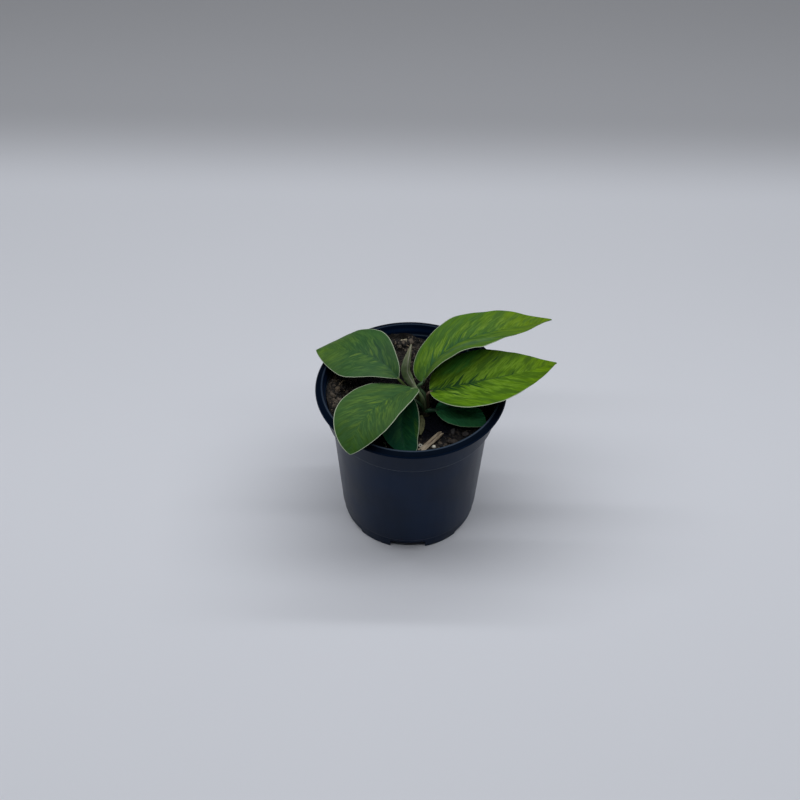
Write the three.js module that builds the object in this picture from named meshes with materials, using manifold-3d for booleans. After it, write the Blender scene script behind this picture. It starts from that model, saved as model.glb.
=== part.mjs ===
// Potted homalomena selby: a leafy aroid in its black nursery pot.
// Lengths are in millimetres and angles in degrees.
// The origin is the middle of the pot's base, with +Z up and -Y towards the front.
import * as THREE from 'three';
import { mergeVertices } from 'three/addons/utils/BufferGeometryUtils.js';
import Module from 'manifold-3d';

const wasm = await Module();
wasm.setup();

// Clearance left between pieces that touch on the real plant
const GAP = 0.3;

// Pot
const POT = {
  segments: 60,
  height: 109.8,
  lipRadius: 60,
  lipLowZ: 106.8,
  lipEdgeZ: 108.2,
  rollRadius: 56,
  mouthRadius: 55.4,
  bandTopRadius: 55.2,
  bandLowRadius: 53.6,
  ledgeZ: 87.9,
  bodyTopRadius: 50.3,
  bodyLowRadius: 45.1,
  bodyLowZ: 9.2,
  footTopRadius: 44.2,
  footTopZ: 8,
  footRadius: 43.9,
  footInnerRadius: 41.6,
  wall: 1.1,
  floorLowZ: 6.4,
  floorTopZ: 7.7,
  padRadius: 9,
  beadZ: 102,
  beadDepth: 0.5,
  beadFade: 3,
  edge: 0.4,
};
const FEET = { count: 6, notchWidth: 23, notchHeight: 6, notchCorner: 1.6, firstHeading: -90 };
const DRAIN = { count: 6, radius: 3.5, circleRadius: 33, segments: 16, firstHeading: -60 };

// Soil: the lumps are waves, each with its height, its turns along X and Y and its phase.
const SOIL = {
  segments: 44,
  meanZ: 98.1,
  backRise: 0.028,
  lumps: [
    [0.42, 0.19, 0.11, 0.4],
    [0.36, -0.13, 0.21, 1.9],
    [0.3, 0.31, -0.17, 3.1],
    [0.22, 0.09, 0.37, 5.2],
  ],
  ringShares: [1, 0.93, 0.84, 0.72, 0.6, 0.48, 0.36, 0.25, 0.15, 0.07, 0],
};

// Root crown: a short stub whose collar clasps the foot of every stalk
const CROWN = {
  x: 9,
  y: -12.3,
  segments: 24,
  radius: 4.1,
  topRadius: 3.8,
  lowZ: 84.3,
  lowBevel: 1,
  topZ: 99.5,
  collarHeight: 3,
  edge: 0.2,
  pocketRadius: 3.3,
  pocketZ: 95,
};

// Leaf blades, laid off both sides of a midrib from the base to the tip
const BLADE = {
  rows: 20,
  crowding: 0.9,
  columns: [0, 0.08, 0.3, 0.55, 0.8, 1],
  thickness: [1.5, 0.95, 0.66, 0.62, 0.6, 0.6],
  baseHalfWidth: 0.9,
  tipHalfWidth: 0.35,
  steps: 80,
};
const STALK = {
  sides: 8,
  steps: 14,
  footCircle: 2.1,
  footZ: 95.3,
  footRadius: 0.75,
  neckRadius: 0.85,
  neckShare: 0.85,
  neckDrop: 0.75,
  reach: 3.2,
  endRadius: 0.5,
};

// heading, pitch and roll hold the value at the base, the value at the tip and the bow between.
// A heading of 0 points right and 90 to the back, and a positive roll lifts the right-hand side.
// fold is the angle of the trough half way along and its change from there to the tip, and curl
// is how far each half turns from the midrib to its margin. shoulder and taper shape the outline.
// wave holds the height, the number and the phase of the margin's ripples.
const LEAVES = [
  {
    name: 'leaf_left_rear',
    footAngle: 120,
    base: [-8, -4, 119],
    length: 64,
    width: 38.5,
    heading: [135, 173, -5],
    pitch: [27, -14, -18],
    roll: [16, -8, 13],
    fold: [8, -15],
    curl: -19,
    lean: 0,
    shoulder: 0.8,
    taper: 0.75,
    wave: [0.3, 3, 0.6],
    stalk: [
      [7.6, -10.4, 100.8],
      [4.6, -8.9, 106.8],
      [0.4, -6.9, 110.2],
      [-3.2, -5.3, 113.1],
      [-6, -4.5, 116.2],
    ],
  },
  {
    name: 'leaf_left_front',
    footAngle: 180,
    base: [1.5, -12, 118.5],
    length: 66,
    width: 41.5,
    heading: [215, 268, -10],
    pitch: [11, -25, 4],
    roll: [-30, 21, -5],
    fold: [12, 0],
    curl: -9,
    lean: 0.03,
    shoulder: 0.45,
    taper: 0.7,
    wave: [0.3, 2.5, 2],
    stalk: [
      [6.8, -12.5, 103],
      [6.2, -13, 110],
      [4.6, -13, 115.6],
    ],
  },
  {
    name: 'leaf_right_rear',
    footAngle: 60,
    base: [7, -5, 117],
    length: 95.5,
    width: 44,
    heading: [67, 16, -22],
    pitch: [35, 11, -17],
    roll: [53, 25, -26],
    fold: [21, 2],
    curl: -9,
    lean: 0.03,
    shoulder: 0.5,
    taper: 0.85,
    wave: [0.8, 3, 1.1],
    stalk: [
      [9.9, -10.2, 101.5],
      [8.4, -7.4, 108.3],
      [5.2, -5.6, 111.8],
      [4.6, -5.4, 114],
    ],
  },
  {
    name: 'leaf_right',
    footAngle: 0,
    base: [11.5, -13.5, 117.5],
    length: 82,
    width: 41,
    heading: [8, 27, -3],
    pitch: [12, 0, -3],
    roll: [1, 5, -16],
    fold: [15, 2],
    curl: -4,
    lean: 0,
    shoulder: 0.5,
    taper: 0.95,
    wave: [0.4, 3, 0.2],
    stalk: [
      [10.9, -12.4, 103],
      [10.3, -13.1, 111],
      [10.3, -13.5, 115],
    ],
  },
  {
    name: 'leaf_front_low',
    footAngle: 240,
    base: [-0.5, -13.5, 112],
    length: 41.5,
    width: 24.5,
    heading: [242, 289, 5],
    pitch: [-13, -17, -1],
    roll: [-6, 5, -3],
    fold: [25, -1],
    curl: 3,
    lean: 0.03,
    shoulder: 0.55,
    taper: 0.65,
    wave: [0.2, 2.5, 1.5],
    stalk: [
      [7.8, -14.3, 100.8],
      [5.6, -15, 107.2],
      [2.4, -14.6, 110.6],
    ],
  },
  {
    name: 'leaf_right_low',
    footAngle: 300,
    base: [15.5, -15, 103],
    length: 33,
    width: 20.5,
    heading: [1, -33, -2],
    pitch: [0, -11, 1],
    roll: [-5, -8, -3],
    fold: [12, 0],
    curl: -10,
    lean: 0,
    shoulder: 0.5,
    taper: 0.7,
    wave: [0.2, 2.5, 0.3],
    stalk: [
      [10.1, -14.2, 99],
      [11.6, -14.7, 101.6],
    ],
  },
];

// Youngest leaf, still rolled into a spear: its path and its half width along the path
const SPEAR = {
  name: 'new_leaf',
  sides: 14,
  steps: 26,
  path: [
    [9, -12.3, 95.3],
    [8.8, -12.1, 103],
    [7.2, -11, 109.2],
    [3.6, -8.4, 113.2],
    [0.6, -5.8, 116],
    [-1.3, -4.2, 119.5],
    [-3, -3.2, 125],
    [-2.4, -2.4, 131.5],
    [-0.4, 1.9, 142],
  ],
  stations: [0, 0.3, 0.42, 0.5, 0.56, 0.66, 0.76, 0.86, 0.94, 1],
  radii: [0.75, 0.8, 1.1, 1.9, 2.3, 2.15, 2.2, 1.6, 1, 0.4],
  flattening: 0.12,
  seamDepth: 0.3,
  seamWidth: 0.35,
  seamFullRadius: 2,
  seamAngle: 250,
  seamTwist: -60,
};

// Small things lying on the soil
const GRAIN = { flatShare: 0.36, bumps: [9, 11, 8] };
const PRILLS = [
  { name: 'prill_white', x: 14.6, y: -41.1, size: [2.6, 2.6, 2.3], turn: 0, seed: 1 },
  { name: 'prill_tan', x: -42.1, y: 3.2, size: [1.7, 1.6, 1.5], turn: 0, seed: 1 },
  { name: 'grit_front_1', x: -15.2, y: -39.5, size: [2.2, 1.4, 1.3], turn: 0, seed: 1 },
  { name: 'grit_front_2', x: -14.4, y: -42, size: [1.5, 1.4, 1.2], turn: 0, seed: 1 },
];
const BARK = [
  { name: 'bark_left', x: -48.2, y: 15, size: [3.6, 6.4, 2.2], turn: 15, seed: 3 },
  { name: 'bark_right', x: 26.3, y: -28.9, size: [2.9, 5.6, 2], turn: -8, seed: 7 },
  { name: 'bark_edge', x: 33.9, y: -30.8, size: [4.2, 3.4, 2], turn: 20, seed: 11 },
  { name: 'bark_front', x: 25.2, y: -36.9, size: [5.4, 3.4, 1.9], turn: -12, seed: 5 },
  { name: 'bark_rear', x: -12.4, y: 48.4, size: [5.6, 3.2, 1.9], turn: 8, seed: 13 },
];
const BARK_ROUGHNESS = 0.07;
const RING_PRILL = {
  name: 'prill_ring',
  x: 6.3,
  y: -39.9,
  radius: 0.95,
  tube: 0.45,
  sides: 8,
  segments: 18,
};
const CHIP = {
  name: 'wood_chip',
  x: 13.8,
  y: -36.8,
  turn: 51,
  thickness: 1.5,
  bevel: 0.25,
  outline: [
    [-8.9, -1.2],
    [-4, -1.7],
    [2, -1.7],
    [6.6, -1.3],
    [8.6, -1],
    [7, -0.2],
    [8.9, 0.6],
    [6, 1.3],
    [0.5, 1.6],
    [-5, 1.5],
    [-8.2, 0.9],
  ],
};
const FLAKE = {
  name: 'dry_flake',
  x: -5,
  y: 49.2,
  turn: 10,
  thickness: 0.7,
  bevel: 0.15,
  outline: [
    [-3.1, 0.3],
    [-1.2, -0.6],
    [0.2, -2.1],
    [1.2, -1.9],
    [2, 0.4],
    [1.7, 2],
    [0.2, 1.1],
    [-1.4, 1.4],
  ],
};
const SHEATH = {
  name: 'dry_sheath',
  start: [7.4, -16.8],
  rows: 8,
  length: 16.6,
  width: 3.3,
  heading: [280, 256, 0],
  pitch: [0, 0, 0],
  roll: [0, 0, 0],
  fold: [14, 0],
  curl: -26,
  lean: 0,
  shoulder: 0.6,
  taper: 0.7,
  wave: [0, 1, 0],
};

// Material of each kind of piece: its name, colour and roughness
const SLOTS = {
  pot: ['pot_plastic', 0x1c222c, 0.42],
  soil: ['soil', 0x2c2521, 0.95],
  crown: ['stem', 0x6f6a4a, 0.7],
  leaf: ['leaf', 0x5f8a3c, 0.45],
  spear: ['new_leaf', 0x8b8f62, 0.5],
  wood: ['chip_wood', 0xd8b98a, 0.8],
  dry: ['dry_leaf', 0xc9a878, 0.8],
  bark: ['bark', 0x6b5040, 0.9],
  prill: ['prill', 0xe6e0d2, 0.6],
};

const rad = (deg) => (deg * Math.PI) / 180;
const mix = (a, b, t) => a + (b - a) * t;
const along = ([start, end, bow], t) => mix(start, end, t) + bow * 4 * t * (1 - t);
const triple = (vector) => [vector.x, vector.y, vector.z];

const root = new THREE.Group();
root.name = 'potted_homalomena_selby';

function addMesh(name, geometry, slot) {
  const [slotName, colour, roughness] = SLOTS[slot];
  const material = new THREE.MeshStandardMaterial({ color: colour, roughness, metalness: 0 });
  material.name = slotName;
  const mesh = new THREE.Mesh(geometry, material);
  mesh.name = name;
  root.add(mesh);
}

// Points are [x, y, z] lists and faces are index triples.
function toSolid({ points, faces }) {
  const mesh = new wasm.Mesh({
    numProp: 3,
    vertProperties: new Float32Array(points.flat()),
    triVerts: new Uint32Array(faces.flat()),
  });
  return new wasm.Manifold(mesh);
}

function toGeometry(solid) {
  const mesh = solid.getMesh();
  const geometry = new THREE.BufferGeometry();
  geometry.setAttribute('position', new THREE.BufferAttribute(mesh.vertProperties, mesh.numProp));
  geometry.setIndex(new THREE.BufferAttribute(mesh.triVerts, 1));
  geometry.computeVertexNormals();
  return geometry;
}

// Points and faces of a closed geometry, without the empty faces at its poles and seams
function weld(geometry) {
  geometry.deleteAttribute('normal');
  geometry.deleteAttribute('uv');
  const merged = mergeVertices(geometry);
  const position = merged.getAttribute('position');
  const points = [];
  for (let i = 0; i < position.count; i += 1) {
    points.push([position.getX(i), position.getY(i), position.getZ(i)]);
  }
  const faces = [];
  for (let i = 0; i < merged.index.count; i += 3) {
    const [a, b, c] = [0, 1, 2].map((k) => merged.index.getX(i + k));
    if (a !== b && b !== c && c !== a) {
      faces.push([a, b, c]);
    }
  }
  return { points, faces };
}

// Solid turned about Z from a profile of [radius, height] that starts and ends on the axis
function turned(profile, segments) {
  const outline = profile.map(([radius, z]) => new THREE.Vector2(radius, z));
  const geometry = new THREE.LatheGeometry(outline, segments);
  geometry.rotateX(Math.PI / 2);
  return toSolid(weld(geometry));
}

// Loft through rings of equal length, closed by a fan at each end
function loft(rings) {
  const points = rings.flat();
  const n = rings[0].length;
  const faces = [];
  for (let i = 0; i + 1 < rings.length; i += 1) {
    for (let j = 0; j < n; j += 1) {
      const k = (j + 1) % n;
      faces.push([i * n + j, i * n + k, (i + 1) * n + k]);
      faces.push([i * n + j, (i + 1) * n + k, (i + 1) * n + j]);
    }
  }
  const last = (rings.length - 1) * n;
  for (let j = 1; j + 1 < n; j += 1) {
    faces.push([0, j + 1, j]);
    faces.push([last, last + j, last + j + 1]);
  }
  return toSolid({ points, faces });
}

// Solid around a smooth path. radiusAt gives the radius at a share along it and an angle.
function sweep(path, sides, steps, radiusAt) {
  const curve = new THREE.CatmullRomCurve3(path.map((p) => new THREE.Vector3(...p)));
  const frames = curve.computeFrenetFrames(steps, false);
  const rings = [];
  for (let i = 0; i <= steps; i += 1) {
    const centre = curve.getPointAt(i / steps);
    const ring = [];
    for (let j = 0; j < sides; j += 1) {
      const angle = (2 * Math.PI * j) / sides;
      const radius = radiusAt(i / steps, angle);
      const p = centre.clone();
      p.addScaledVector(frames.normals[i], radius * Math.cos(angle));
      p.addScaledVector(frames.binormals[i], radius * Math.sin(angle));
      ring.push(triple(p));
    }
    rings.push(ring);
  }
  return loft(rings);
}

function interpolate(xs, ys, x) {
  const next = xs.findIndex((value) => value >= x && value > xs[0]);
  const i = next - 1;
  return mix(ys[i], ys[next], (x - xs[i]) / (xs[next] - xs[i]));
}

// Pot
function bodyRadius(z) {
  const share = (z - POT.bodyLowZ) / (POT.ledgeZ - POT.bodyLowZ);
  return mix(POT.bodyLowRadius, POT.bodyTopRadius, share);
}

function bandRadius(z) {
  const share = (z - POT.ledgeZ) / (POT.lipLowZ - POT.ledgeZ);
  return mix(POT.bandLowRadius, POT.bandTopRadius, share);
}

// Section of the pot, from the middle of the base round the outside to the middle of the floor
function potProfile() {
  const p = POT;
  const e = p.edge;
  const stepZ = p.ledgeZ + p.wall;
  const inner = (z) => bandRadius(z) - p.wall;
  return [
    [0, 0],
    [p.padRadius - e, 0],
    [p.padRadius, e],
    [p.padRadius, p.floorLowZ],
    [p.footInnerRadius, p.floorLowZ],
    [p.footInnerRadius, e],
    [p.footInnerRadius + e, 0],
    [p.footRadius - e, 0],
    [p.footRadius, e],
    [p.footTopRadius, p.footTopZ],
    [p.bodyLowRadius, p.bodyLowZ],
    [bodyRadius(p.ledgeZ - e), p.ledgeZ - e],
    [p.bodyTopRadius + e, p.ledgeZ],
    [p.bandLowRadius - e, p.ledgeZ],
    [p.bandLowRadius, p.ledgeZ + e],
    [p.bandTopRadius, p.lipLowZ - e],
    [p.bandTopRadius + e, p.lipLowZ],
    [p.lipRadius - e, p.lipLowZ],
    [p.lipRadius, p.lipLowZ + e],
    [p.lipRadius, p.lipEdgeZ - e],
    [p.lipRadius - e, p.lipEdgeZ],
    [p.rollRadius + 3 * e, p.height - e],
    [p.rollRadius, p.height],
    [p.mouthRadius, p.height - e],
    [p.mouthRadius - e, p.lipEdgeZ],
    [inner(p.beadZ + p.beadFade), p.beadZ + p.beadFade],
    [inner(p.beadZ + e), p.beadZ + e],
    [inner(p.beadZ) - p.beadDepth, p.beadZ],
    [p.bandLowRadius - p.wall, stepZ],
    [p.bodyTopRadius - p.wall + e, stepZ],
    [bodyRadius(stepZ - e) - p.wall, stepZ - e],
    [bodyRadius(p.floorTopZ) - p.wall, p.floorTopZ],
    [0, p.floorTopZ],
  ];
}

// Arch-shaped bar that runs outwards through the foot ring
function notchCutter(heading) {
  const half = FEET.notchWidth / 2;
  const top = FEET.notchHeight;
  const corner = FEET.notchCorner;
  const arch = new THREE.Shape();
  arch.moveTo(-half, -1);
  arch.lineTo(half, -1);
  arch.lineTo(half, top - corner);
  arch.quadraticCurveTo(half, top, half - corner, top);
  arch.lineTo(corner - half, top);
  arch.quadraticCurveTo(-half, top, -half, top - corner);
  arch.closePath();
  const bar = new THREE.ExtrudeGeometry(arch, {
    depth: POT.footRadius / 4,
    curveSegments: 3,
    bevelEnabled: false,
  });
  bar.rotateX(Math.PI / 2);
  bar.translate(0, -0.85 * POT.footRadius, 0);
  bar.rotateZ(rad(heading + 90));
  return toSolid(weld(bar));
}

function drainCutter(heading) {
  const height = 2 * POT.floorTopZ;
  const plug = new THREE.CylinderGeometry(DRAIN.radius, DRAIN.radius, height, DRAIN.segments);
  plug.rotateX(Math.PI / 2);
  plug.translate(DRAIN.circleRadius, 0, height / 2);
  plug.rotateZ(rad(heading));
  return toSolid(weld(plug));
}

function buildPot() {
  let pot = turned(potProfile(), POT.segments);
  for (let i = 0; i < FEET.count; i += 1) {
    pot = pot.subtract(notchCutter(FEET.firstHeading + (360 / FEET.count) * i));
  }
  for (let i = 0; i < DRAIN.count; i += 1) {
    pot = pot.subtract(drainCutter(DRAIN.firstHeading + (360 / DRAIN.count) * i));
  }
  addMesh('pot', toGeometry(pot), 'pot');
}

// Soil
function soilHeight(x, y) {
  let z = SOIL.meanZ + SOIL.backRise * y;
  for (const [height, fx, fy, phase] of SOIL.lumps) {
    z += height * Math.sin(fx * x + fy * y + phase);
  }
  return z;
}

function soilEdgeRadius(z) {
  return bandRadius(z) - POT.wall - POT.beadDepth - GAP;
}

// Place on the top of the soil, from the crown's hole at 0 to the rim at 1
function soilPoint(share, angle) {
  const rim = soilEdgeRadius(SOIL.meanZ);
  const hole = CROWN.radius + GAP;
  const x = mix(CROWN.x + hole * Math.cos(angle), rim * Math.cos(angle), share);
  const y = mix(CROWN.y + hole * Math.sin(angle), rim * Math.sin(angle), share);
  return [x, y];
}

function buildSoil() {
  const angles = Array.from({ length: SOIL.segments }, (_, j) => (2 * Math.PI * j) / SOIL.segments);
  const circle = (radius, z) => angles.map((a) => [radius * Math.cos(a), radius * Math.sin(a), z]);
  const surface = (share) =>
    angles.map((a) => {
      const [x, y] = soilPoint(share, a);
      return [x, y, soilHeight(x, y)];
    });
  const stepZ = POT.ledgeZ + POT.wall;
  const lowZ = POT.floorTopZ + GAP;
  const bodyAt = (z) => bodyRadius(z) - POT.wall - GAP;
  const soil = loft([
    circle(bodyAt(lowZ), lowZ),
    circle(bodyAt(stepZ - POT.edge), stepZ + GAP),
    circle(soilEdgeRadius(stepZ), stepZ + GAP),
    ...SOIL.ringShares.map(surface),
    surface(0).map(([x, y]) => [x, y, CROWN.lowZ - GAP]),
  ]);
  addMesh('soil', toGeometry(soil), 'soil');
}

// Height of the soil under a point, or its mean height past the rim
function soilUnder(x, y) {
  const ray = new THREE.Raycaster(new THREE.Vector3(x, y, POT.height), new THREE.Vector3(0, 0, -1));
  const [hit] = ray.intersectObject(root.getObjectByName('soil'));
  return hit ? hit.point.z : SOIL.meanZ;
}

// Lowest level at which a round thing of this radius clears the soil
function restHeight(x, y, radius) {
  const levels = [soilUnder(x, y)];
  for (let i = 0; i < 12; i += 1) {
    const angle = (2 * Math.PI * i) / 12;
    levels.push(soilUnder(x + radius * Math.cos(angle), y + radius * Math.sin(angle)));
  }
  return Math.max(...levels) + GAP;
}

// Crown
function buildCrown() {
  const c = CROWN;
  const crown = turned(
    [
      [0, c.lowZ],
      [c.radius - c.lowBevel, c.lowZ],
      [c.radius, c.lowZ + c.lowBevel],
      [c.radius, c.topZ - c.collarHeight],
      [c.topRadius, c.topZ - c.edge],
      [c.topRadius - c.edge, c.topZ],
      [c.pocketRadius, c.topZ - c.edge],
      [c.pocketRadius, c.pocketZ],
      [0, c.pocketZ],
    ],
    c.segments,
  );
  addMesh('crown', toGeometry(crown.translate(c.x, c.y, 0)), 'crown');
}

// Blade surface: the midrib is walked in small steps, then each half is laid off from it.
function midrib(leaf) {
  const points = [[...leaf.base]];
  for (let i = 0; i < BLADE.steps; i += 1) {
    const t = (i + 0.5) / BLADE.steps;
    const heading = rad(along(leaf.heading, t));
    const pitch = rad(along(leaf.pitch, t));
    const step = leaf.length / BLADE.steps;
    const [x, y, z] = points[i];
    points.push([
      x + step * Math.cos(pitch) * Math.cos(heading),
      y + step * Math.cos(pitch) * Math.sin(heading),
      z + step * Math.sin(pitch),
    ]);
  }
  return points;
}

function halfWidth(leaf, t) {
  const { shoulder: a, taper: b } = leaf;
  const peak = a / (a + b);
  const shape = (t ** a * (1 - t) ** b) / (peak ** a * (1 - peak) ** b);
  const least = mix(BLADE.baseHalfWidth, BLADE.tipHalfWidth, t);
  return Math.hypot((shape * leaf.width) / 2, least);
}

// One row across the blade: along the top from left to right, then back along the underside
function bladeRow(leaf, spine, t) {
  const at = t * BLADE.steps;
  const i = Math.min(Math.floor(at), BLADE.steps - 1);
  const centre = new THREE.Vector3(...spine[i]).lerp(new THREE.Vector3(...spine[i + 1]), at - i);
  const heading = rad(along(leaf.heading, t));
  const pitch = rad(along(leaf.pitch, t));
  const roll = rad(along(leaf.roll, t));
  const forward = new THREE.Vector3(
    Math.cos(pitch) * Math.cos(heading),
    Math.cos(pitch) * Math.sin(heading),
    Math.sin(pitch),
  );
  const right = new THREE.Vector3(Math.sin(heading), -Math.cos(heading), 0);
  right.applyAxisAngle(forward, -roll);
  const up = new THREE.Vector3().crossVectors(right, forward);
  const curl = rad(leaf.curl);
  const fold = rad(leaf.fold[0] + leaf.fold[1] * (2 * t - 1));
  const top = [];
  const bottom = [];
  const [size, count, phase] = leaf.wave;
  const swing = 2 * Math.PI * count * t + phase;
  const columns = BLADE.columns.length - 1;
  for (let c = -columns; c <= columns; c += 1) {
    const side = Math.sign(c) || 1;
    const share = BLADE.columns[Math.abs(c)];
    const half = halfWidth(leaf, t) * (1 + side * leaf.lean);
    const angle = fold + curl * share;
    const across = (half * (Math.sin(angle) - Math.sin(fold))) / curl;
    const rise = (half * (Math.cos(fold) - Math.cos(angle))) / curl;
    const wave = size * share * share * Math.sin(swing + side) * 4 * t * (1 - t);
    const p = centre.clone();
    p.addScaledVector(right, side * across);
    p.addScaledVector(up, rise + wave);
    const normal = up.clone();
    if (c !== 0) {
      normal.multiplyScalar(Math.cos(angle)).addScaledVector(right, -side * Math.sin(angle));
    }
    const q = p.clone().addScaledVector(normal, -BLADE.thickness[Math.abs(c)]);
    top.push(triple(p));
    bottom.push(triple(q));
  }
  return [...top, ...bottom.reverse()];
}

// Rows lie closer together near the base and the tip, where the outline turns.
function buildBlade(leaf, rows) {
  const spine = midrib(leaf);
  const rings = [];
  for (let i = 0; i <= rows; i += 1) {
    const s = i / rows;
    const t = s - (BLADE.crowding * Math.sin(2 * Math.PI * s)) / (2 * Math.PI);
    rings.push(bladeRow(leaf, spine, t));
  }
  return bladeSolid(rings);
}

// Both faces are split along the same diagonals, so the thickness stays even.
function bladeSolid(rings) {
  const points = rings.flat();
  const n = rings[0].length;
  const half = n / 2;
  const faces = [];
  const quad = (a, b, c, d, flip) => {
    if (flip) {
      faces.push([a, b, d], [b, c, d]);
    } else {
      faces.push([a, b, c], [a, c, d]);
    }
  };
  for (let i = 0; i + 1 < rings.length; i += 1) {
    for (let j = 0; j < n; j += 1) {
      const k = (j + 1) % n;
      quad(i * n + j, i * n + k, (i + 1) * n + k, (i + 1) * n + j, j >= half);
    }
  }
  const last = (rings.length - 1) * n;
  for (let j = 0; j + 1 < half; j += 1) {
    const below = n - 1 - j;
    quad(j, below, below - 1, j + 1, false);
    quad(last + j, last + j + 1, last + below - 1, last + below, false);
  }
  return toSolid({ points, faces });
}

function buildLeaf(leaf) {
  const blade = buildBlade(leaf, BLADE.rows);
  const spine = midrib(leaf);
  const s = STALK;
  const reach = Math.round((BLADE.steps * s.reach) / leaf.length);
  const neck = [spine[0], spine[reach]].map(([x, y, z]) => [x, y, z - s.neckDrop]);
  const radiusAt = (share) =>
    share < s.neckShare
      ? mix(s.footRadius, s.neckRadius, share / s.neckShare)
      : mix(s.neckRadius, s.endRadius, (share - s.neckShare) / (1 - s.neckShare));
  const foot = [
    CROWN.x + s.footCircle * Math.cos(rad(leaf.footAngle)),
    CROWN.y + s.footCircle * Math.sin(rad(leaf.footAngle)),
    s.footZ,
  ];
  const stalk = sweep([foot, ...leaf.stalk, ...neck], s.sides, s.steps, radiusAt);
  addMesh(leaf.name, toGeometry(blade.add(stalk)), 'leaf');
}

// A seam winds up the spear where the last margin is wrapped over.
function buildSpear() {
  const s = SPEAR;
  const radiusAt = (share, angle) => {
    const radius = interpolate(s.stations, s.radii, share);
    const seam = rad(s.seamAngle + s.seamTwist * share);
    const off = Math.abs(((angle - seam + 3 * Math.PI) % (2 * Math.PI)) - Math.PI);
    const fade = Math.min(1, radius / s.seamFullRadius);
    const depth = s.seamDepth * fade * Math.exp(-((off / s.seamWidth) ** 2));
    return radius * (1 - depth) * (1 - s.flattening * Math.cos(2 * angle));
  };
  addMesh(s.name, toGeometry(sweep(s.path, s.sides, s.steps, radiusAt)), 'spear');
}

// Rounded grain or crumb, flattened where it rests
function buildGrain(item, slot, roughness) {
  const { points, faces } = weld(new THREE.IcosahedronGeometry(0.5, 1));
  const [fx, fy, fz] = GRAIN.bumps;
  const [length, depth, height] = item.size;
  const c = Math.cos(rad(item.turn));
  const s = Math.sin(rad(item.turn));
  const shaped = points.map(([x, y, z]) => {
    const bumps = [fx * x, fy * y, fz * z].map((phase, k) => Math.sin(phase + (k + 1) * item.seed));
    const swell = 1 + roughness * (bumps[0] + bumps[1] + bumps[2]);
    const u = x * swell * length;
    const v = y * swell * depth;
    return [u * c - v * s, u * s + v * c, Math.max(z * swell, -GRAIN.flatShare) * height];
  });
  const low = Math.min(...shaped.map((p) => p[2]));
  const lift = restHeight(item.x, item.y, Math.max(length, depth) / 2) - low;
  const placed = shaped.map(([x, y, z]) => [x + item.x, y + item.y, z + lift]);
  addMesh(item.name, toGeometry(toSolid({ points: placed, faces })), slot);
}

// Flat splinter from an outline, laid on the highest soil under it
function buildSlab(item, slot) {
  const outline = item.outline.map(([u, v]) => new THREE.Vector2(u, v));
  const slab = new THREE.ExtrudeGeometry(new THREE.Shape(outline), {
    depth: item.thickness - 2 * item.bevel,
    bevelThickness: item.bevel,
    bevelSize: item.bevel,
    bevelOffset: -item.bevel,
    bevelSegments: 1,
  });
  slab.translate(0, 0, item.bevel);
  slab.rotateZ(rad(item.turn));
  slab.translate(item.x, item.y, 0);
  const { points, faces } = weld(slab);
  const z = Math.max(...points.map(([x, y]) => restHeight(x, y, item.thickness / 2)));
  addMesh(item.name, toGeometry(toSolid({ points, faces }).translate(0, 0, z)), slot);
}

function buildRingPrill(item) {
  const ring = new THREE.TorusGeometry(item.radius, item.tube, item.sides, item.segments);
  const z = restHeight(item.x, item.y, item.radius + item.tube) + item.tube;
  ring.translate(item.x, item.y, z);
  addMesh(item.name, toGeometry(toSolid(weld(ring))), 'prill');
}

function buildSheath(item) {
  const [x, y] = item.start;
  const flat = midrib({ ...item, base: [x, y, 0] });
  const levels = flat.map(([px, py]) => restHeight(px, py, item.width / 2));
  const base = [x, y, Math.max(...levels) + BLADE.thickness[0]];
  addMesh(item.name, toGeometry(buildBlade({ ...item, base }, item.rows)), 'dry');
}

buildPot();
buildSoil();
buildCrown();
LEAVES.forEach(buildLeaf);
buildSpear();
buildSheath(SHEATH);
buildSlab(CHIP, 'wood');
buildSlab(FLAKE, 'dry');
buildRingPrill(RING_PRILL);
PRILLS.forEach((item) => buildGrain(item, 'prill', 0));
BARK.forEach((item) => buildGrain(item, 'bark', BARK_ROUGHNESS));

export default root;
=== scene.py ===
"""Looks of a potted homalomena selby: its pot, its soil, its leaves and the small bits.

Shapes are worked out in millimetres and written to their meshes in metres.
The origin is the middle of the pot's base, with +Z up and -Y towards the camera.
"""

import math
from types import SimpleNamespace

import bmesh
import bpy
import numpy as np
from mathutils import Matrix, Vector, noise


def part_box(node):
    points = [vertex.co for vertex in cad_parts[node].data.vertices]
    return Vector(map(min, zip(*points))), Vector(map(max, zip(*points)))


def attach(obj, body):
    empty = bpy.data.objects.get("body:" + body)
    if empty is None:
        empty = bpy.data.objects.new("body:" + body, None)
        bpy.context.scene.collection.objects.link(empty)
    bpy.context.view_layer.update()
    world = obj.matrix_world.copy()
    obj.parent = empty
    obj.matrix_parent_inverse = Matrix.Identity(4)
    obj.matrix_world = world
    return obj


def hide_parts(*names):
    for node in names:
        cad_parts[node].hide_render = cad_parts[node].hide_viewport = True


bl_info = {
    "name": "Potted homalomena selby",
    "version": (1, 0, 0),
    "blender": (4, 5, 0),
    "location": "View3D > Sidebar > Plant",
    "description": "Builds the pot, the soil, the leaves and the small bits of a potted aroid",
    "category": "Object",
}

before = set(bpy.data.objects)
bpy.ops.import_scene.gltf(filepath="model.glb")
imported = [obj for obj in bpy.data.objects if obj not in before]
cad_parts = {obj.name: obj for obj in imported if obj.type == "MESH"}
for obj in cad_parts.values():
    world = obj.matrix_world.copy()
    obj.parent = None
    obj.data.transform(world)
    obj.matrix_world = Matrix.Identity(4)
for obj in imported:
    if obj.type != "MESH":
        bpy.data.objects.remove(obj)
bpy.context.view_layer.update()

MM = 0.001


def in_mm(corner):
    """A corner of a node's box in millimetres."""
    return np.array(corner) / MM


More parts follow.
